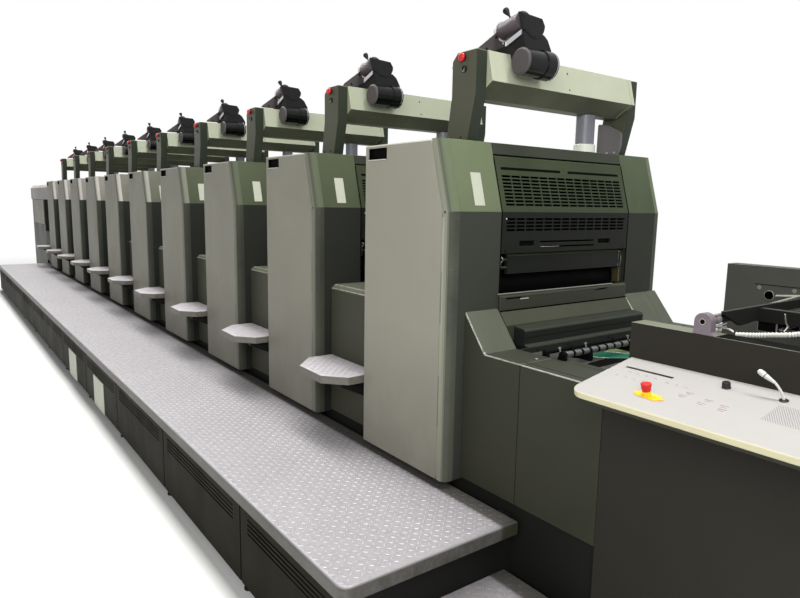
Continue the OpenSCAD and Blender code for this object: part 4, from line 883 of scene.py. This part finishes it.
def carriage_mesh():
    """The ink carriage: saddle, arm, cartridge between its clamp ring and end plate, drum and knob."""
    kit = Kit()
    top = BEAM_TOP
    # saddle on the beam
    kit.prism([(0.462, top + 0.0006), (0.505, top + 0.0006), (0.505, top + 0.012), (0.545, top + 0.012),
               (0.545, top + 0.0006), (0.6, top + 0.0006), (0.628, top - 0.088), (0.645, top - 0.088),
               (0.65, top - 0.03), (0.64, top + 0.04), (0.56, top + 0.045), (0.47, top + 0.03)],
              "y", 0.402, 0.558, bevel=0.003)
    # arm: its outline in Y and Z at the front, drawn in over the beam at the back
    front = [(0.382, 0.088), (0.392, 0.063), (0.404, 0.027), (0.404, -0.078), (0.56, -0.078), (0.586, 0.008),
             (0.583, 0.027), (0.555, 0.071), (0.526, 0.09)]
    steps = ((-0.078, 0.636), (-0.003, 0.61), (0.012, 0.597), (0.1, 0.597))

    def back_x(z):
        for (z0, x0), (z1, x1) in zip(steps, steps[1:]):
            if z <= z1:
                return x0 + (x1 - x0) * (z - z0) / (z1 - z0)
        return steps[-1][1]

    back = [(back_x(min(z, 0.05)), y, top + min(z, 0.03 + z / 4)) for y, z in front]
    kit.loft(back, [(0.69, y, top + z) for y, z in front], bevel=0.004)
    # end plate of the cartridge: round, cut level at the top, with a corner towards the operator
    plate = ([(0.358, top + 0.164), (0.369, top + 0.144), (0.382, top + 0.094)]
             + arc(0.462, top + 0.128, 0.066, 228, 360, 12) + [(0.507, top + 0.157)])
    kit.prism(plate, "x", 0.679, 0.693, bevel=0.0025)
    inner = ([(0.37, top + 0.157), (0.378, top + 0.142), (0.39, top + 0.1)]
             + arc(0.462, top + 0.128, 0.058, 232, 352, 11) + [(0.504, top + 0.15)])
    kit.prism(inner, "x", 0.69, 0.6942, bevel=0.0015)
    for y, z in ((0.386, 0.148), (0.496, 0.146), (0.462, 0.074)):
        kit.lathe((0.694, y, top + z), TO_FEEDER, [(0, 0.0045), (0.0022, 0.0045), (0.003, 0.003)], 10)
    # bright guard strip under the cartridge
    kit.prism([(0.597, top + 0.032), (0.689, top + 0.068), (0.689, top + 0.092), (0.597, top + 0.057)], "y",
              0.3765, 0.3805, 1, bevel=0.0008)
    kit.prism([(0.6, top + 0.038), (0.688, top + 0.072), (0.688, top + 0.088), (0.6, top + 0.053)], "y",
              0.38, 0.394, bevel=0.001)
    # cartridge and its pale clamp ring; the cartridge turns towards the operator at its front
    y, z = 0.455, top + 0.128
    back, along = Vector((0.489, y, z)), Vector((0.191, -0.056, 0.008)).normalized()
    kit.lathe(back, along, [(0, 0.03), (0.002, 0.037), (0.006, 0.0398), (0.196, 0.0398)], 40, 2)
    kit.lathe(back, along, [(0, 0.041), (0.001, 0.0465), (0.013, 0.0465), (0.014, 0.04)], 40, 3)
    kit.box((0.49, y - 0.008, z - 0.058), (0.498, y + 0.008, z - 0.044), 3, bevel=0.0015)
    # gusset from the saddle to the ring
    kit.prism([(0.29, top + 0.019), (0.47, top + 0.019), (0.474, z), (0.417, z - 0.005), (0.301, top + 0.035)],
              "x", 0.4895, 0.4965, 4, bevel=0.0012)
    for y1, z1 in ((0.408, 0.098), (0.428, 0.04), (0.35, 0.035)):
        kit.lathe((0.4965, y1, top + z1), TO_FEEDER, [(-0.001, 0.007), (0.003, 0.007), (0.004, 0.004)], 14)
    # drum: grey end, smaller length, larger length with a thin bright band
    at = (0.702, 0.372, top - 0.05)
    kit.lathe(at, TO_OPERATOR, [(0, 0.06), (0.003, 0.0595), (0.007, 0.056), (0.0105, 0.052), (0.0108, 0.01)], 44, 4)
    kit.lathe(at, TO_DRIVE, [(0, 0.06), (0.001, 0.06), (0.002, 0.059), (0.116, 0.059), (0.117, 0.06),
                             (0.118, 0.0645), (0.172, 0.0645), (0.173, 0.0635), (0.183, 0.0635), (0.187, 0.06),
                             (0.188, 0.04)], 48, 5)
    kit.lathe((0.702, 0.5445, top - 0.05), TO_DRIVE, [(0, 0.064), (0.0005, 0.065), (0.0035, 0.065),
                                                       (0.004, 0.064)], 48, 1)
    # cone-shaped knob that leans back from the top of the cartridge
    lean = (-math.sin(math.radians(40)), 0, math.cos(math.radians(40)))
    kit.lathe((0.575, 0.43, top + 0.163), lean,
              [(0, 0.0085), (0.006, 0.0085), (0.008, 0.0045), (0.03, 0.0045), (0.034, 0.0065), (0.058, 0.0145),
               (0.066, 0.0155), (0.071, 0.014), (0.073, 0.009)], 20)
    return mesh_of(kit.bm, "ink_carriage_shape", (GLOSS_BLACK, SILVER, CARTRIDGE, PALE_GREY, DRUM_END, DRUM))


def make_carriages():
    mesh = carriage_mesh()
    for i in UNITS:
        node = f"ink_carriage_{i:02d}"
        place_piece(mesh, node + "_shape", f"carriage_{i:02d}", (node,), i)


# Console
BOARD_TOP, BOARD_BACK, BOARD_FRONT, BOARD_ROUND, BOARD_THICK = 0.764, 0.1, -0.238, 0.05, 0.023
BOARD_FALL, BOARD_REACH = 0.06, 0.335


def console_board_frame():
    """Turns board places (x along the press, y across it, z out of the board) into the press frame."""
    tilt = Matrix.Rotation(math.atan(BOARD_FALL / BOARD_REACH), 4, "X")
    return Matrix.Translation((0, BOARD_BACK, BOARD_TOP)) @ tilt @ Matrix.Translation((0, -BOARD_BACK, 0))


def off_back(e):
    """Picks the board's edges that aren't along its back."""
    return not all(abs(v.co.y - ORIGIN.y - BOARD_BACK) < 0.012 for v in e.verts)


def make_console():
    board = console_board_frame()
    x0, x1, under = 1.537, 2.687, 0.022
    kit = Kit().local(board)
    plan = rounded_plan(x0, x1, BOARD_FRONT, BOARD_BACK, BOARD_ROUND, 8)
    kit.prism(plan, "z", -BOARD_THICK, 0.0, bevel=0.0105, segments=5, rounded=off_back)
    bmesh.ops.recalc_face_normals(kit.bm, faces=kit.bm.faces)
    for face in kit.bm.faces:
        if face.normal.z < 0.8:
            face.material_index = 1
    kit.done("console_top", "console_cream", CREAM, CREAM_EDGE, replaced=("console_board",))
    kit = Kit().local(board)
    plan = rounded_plan(x0 + under, x1 - under, BOARD_FRONT + under, BOARD_BACK, BOARD_ROUND, 8)
    kit.prism(plan, "z", -0.04, -BOARD_THICK + 0.001)
    kit.done("console_underside", "dark_paint", DARK)
    # arms and underside tray that carry the board on the feeder's wall
    kit = Kit()
    kit.prism([(0.0985, 0.722), (0.0985, 0.64), (0.06, 0.64), (-0.18, 0.655), (-0.19, 0.668)], "x",
              x0 + 0.045, x1 - 0.045, bevel=0.004)
    kit.done("console_tray", "dark_paint", DARK)

    kit = Kit().local(board)
    # narrow slot and stop button with its plate, collar and knob
    kit.box((1.577, 0.011, -0.001), (1.745, 0.022, 0.0006), 1)
    plate = [(1.706, -0.138), (1.726, -0.156), (1.79, -0.164), (1.812, -0.144), (1.79, -0.124), (1.728, -0.12)]
    kit.prism(plate, "z", 0, 0.0012, 2, bevel=0.0004)
    at = (1.754, -0.141, 0)
    kit.lathe(at, UP, [(0, 0.0142), (0.008, 0.0138), (0.013, 0.0122), (0.016, 0.0118)], 28, 2)
    kit.lathe(at, UP, [(0.014, 0.012), (0.017, 0.0132), (0.033, 0.0158), (0.037, 0.0159), (0.039, 0.0145),
                       (0.04, 0.009)], 32, 0)
    at = (1.901, 0.038, 0)
    kit.lathe(at, UP, [(0, 0.013), (0.002, 0.013), (0.003, 0.0116), (0.017, 0.011), (0.019, 0.0098),
                       (0.019, 0.003)], 28, 1)
    for k in range(18):
        a = 2 * math.pi * k / 18
        kit.rod((at[0] + 0.0112 * math.cos(a), at[1] + 0.0112 * math.sin(a), 0.003),
                (at[0] + 0.0109 * math.cos(a), at[1] + 0.0109 * math.sin(a), 0.0165), 0.0008, 6, 1)
    kit.done("console_buttons", "button_red", RED, BLACK_PLASTIC, YELLOW, replaced=("console_controls",))

    # membrane keys: faint plain outlines in rows, and the loudspeaker's holes
    kit = Kit().local(board)
    for row, (y, first, last) in enumerate(((-0.06, 1.585, 1.72), (-0.02, 1.6, 1.73), (-0.03, 1.735, 1.83))):
        for k in range(int((last - first) / 0.031)):
            x = first + k * 0.031 + row * 0.004
            kit.box((x, y, -0.0005), (x + 0.019, y + 0.012, 0.0003), 0)
            for line in range(2):
                foot = y + 0.002 + line * 0.006
                kit.box((x + 0.002, foot, -0.0005), (x + 0.015 - line * 0.005, foot + 0.0016, 0.0006),
                        1 if (k + row + line) % 3 else 2)
    for x, y in ((1.83, -0.055), (1.822, -0.082), (1.895, -0.07), (1.888, -0.098), (1.945, -0.08), (1.95, -0.104)):
        kit.box((x, y, -0.0005), (x + 0.024, y + 0.0024, 0.0007), 1)
        kit.box((x + 0.004, y - 0.01, -0.0005), (x + 0.02, y - 0.0078, 0.0007), 2)
    kit.done("console_keys", "console_cream", KEY_PAD, KEY_GREY, KEY_PINK)
    kit = Kit().local(board)
    for i in range(24):
        for j in range(20):
            x, y = 2.062 + i * 0.0062 + (j % 2) * 0.0031, -0.098 + j * 0.0056
            kit.lathe((x, y, -0.0004), UP, [(0, 0.0014), (0.0008, 0.0014)], 8)
    kit.done("loudspeaker_holes", "console_cream", TUBE)

    # gooseneck microphone
    kit = Kit().local(board)
    at = Vector((2.058, 0.043, 0))
    kit.lathe(at, UP, [(0, 0.0125), (0.002, 0.0125), (0.003, 0.0105), (0.004, 0.006)], 28, 1)
    bend = [at + Vector(p) for p in ((0, 0, 0), (-0.0008, 0, 0.009), (-0.0046, 0, 0.02), (-0.014, 0, 0.036),
                                     (-0.0254, 0, 0.05))]
    kit.tube(bend, 0.0037, 14, steps=8)
    head, tip = at + Vector((-0.0235, 0, 0.0475)), Vector((-0.86, 0, 0.51))
    kit.lathe(head, tip, [(0, 0.0038), (0.008, 0.005), (0.022, 0.0068), (0.034, 0.0082), (0.044, 0.0084),
                          (0.05, 0.0072), (0.053, 0.004)], 24)
    kit.lathe(head + tip * 0.03, tip, [(0, 0.0078), (0.002, 0.0081), (0.002, 0.0078)], 24, 1)
    kit.done("gooseneck_microphone", "stem_metal", PALE_GREY, BLACK_PLASTIC, replaced=("microphone",))


# Floor and light
FLOOR_HALF, PRESS_HALF_LENGTH, FLOOR_FADE = 120, 8.5, (1.6, 6.5)


def shown_white(n, light, white):
    """Ends a material or world: white for what the camera, mirrors and glass see, light for the rest."""
    path = n.add("LightPath").outputs
    seen = path["Is Camera Ray"]
    for name in ("Is Glossy Ray", "Is Transmission Ray"):
        seen = n.math("MAXIMUM", seen, path[name])
    n.feed(n.out.inputs[0], n.add("MixShader", {0: seen, 1: light, 2: white}).outputs[0])


def make_floor():
    """A floor that fades to the white of the background away from the press."""
    n = Look("floor")
    n.shade(n.mix(n.rise(n.noise(0.6, 5, 0.6), 0.3, 0.8), srgb(226, 226, 225), srgb(221, 221, 220)), 0.8)
    x, y, _ = n.axes(n.place)
    past = n.math("MAXIMUM", n.math("SUBTRACT", n.math("ABSOLUTE", x), PRESS_HALF_LENGTH))
    reach = n.math("SQRT", n.plus(n.times(past, past), n.times(y, y)))
    fade = n.span(reach, *FLOOR_FADE, interpolation_type="SMOOTHSTEP")
    lit, glow = n.shader.outputs[0], n.add("Emission").outputs[0]
    shown_white(n, lit, n.add("MixShader", {0: fade, 1: lit, 2: glow}).outputs[0])
    mesh = bpy.data.meshes.new("floor")
    corners = rect(-FLOOR_HALF, -FLOOR_HALF, FLOOR_HALF, FLOOR_HALF)
    mesh.from_pydata([(x, y, 0) for x, y in corners], [], [(0, 1, 2, 3)])
    mesh.materials.append(n.owner)
    floor = bpy.data.objects.new("floor", mesh)
    bpy.context.scene.collection.objects.link(floor)


def make_sky():
    n = Nodes(bpy.data.worlds.new("world"), "OutputWorld")
    bpy.context.scene.world = n.owner
    light = n.add("Background", {0: (0.93, 0.97, 1.0, 1), 1: 0.2})
    white = n.add("Background", {0: (1, 1, 1, 1)})
    shown_white(n, light.outputs[0], white.outputs[0])


def soft_light(name, at, towards, size, power, tint=(1, 1, 1)):
    data = bpy.data.lights.new(name, "AREA")
    data.shape = "RECTANGLE"
    data.size, data.size_y = size
    data.energy = power
    data.color = tint
    lamp = bpy.data.objects.new(name, data)
    lamp.location = at
    lamp.rotation_euler = (Vector(towards) - Vector(at)).to_track_quat("-Z", "Y").to_euler()
    bpy.context.scene.collection.objects.link(lamp)


make_camera()
make_floor()
make_sky()
soft_light("roof_light", (0, 0, 9), (0, 0, 0), (26, 1.8), 2350, (1, 1, 0.97))
soft_light("operator_light", (9.5, -4.4, 3.4), (5.2, -0.4, 1.1), (4, 2.5), 270, (1, 0.99, 0.96))

bpy.context.scene.view_settings.view_transform = "Standard"

shape_covers()
make_gallery()
make_steps()
make_unit_fittings()
make_guard_details()
make_door_grips()
make_feed_details()
make_feeder_details()
make_gantry_fittings()
make_carriages()
make_console()
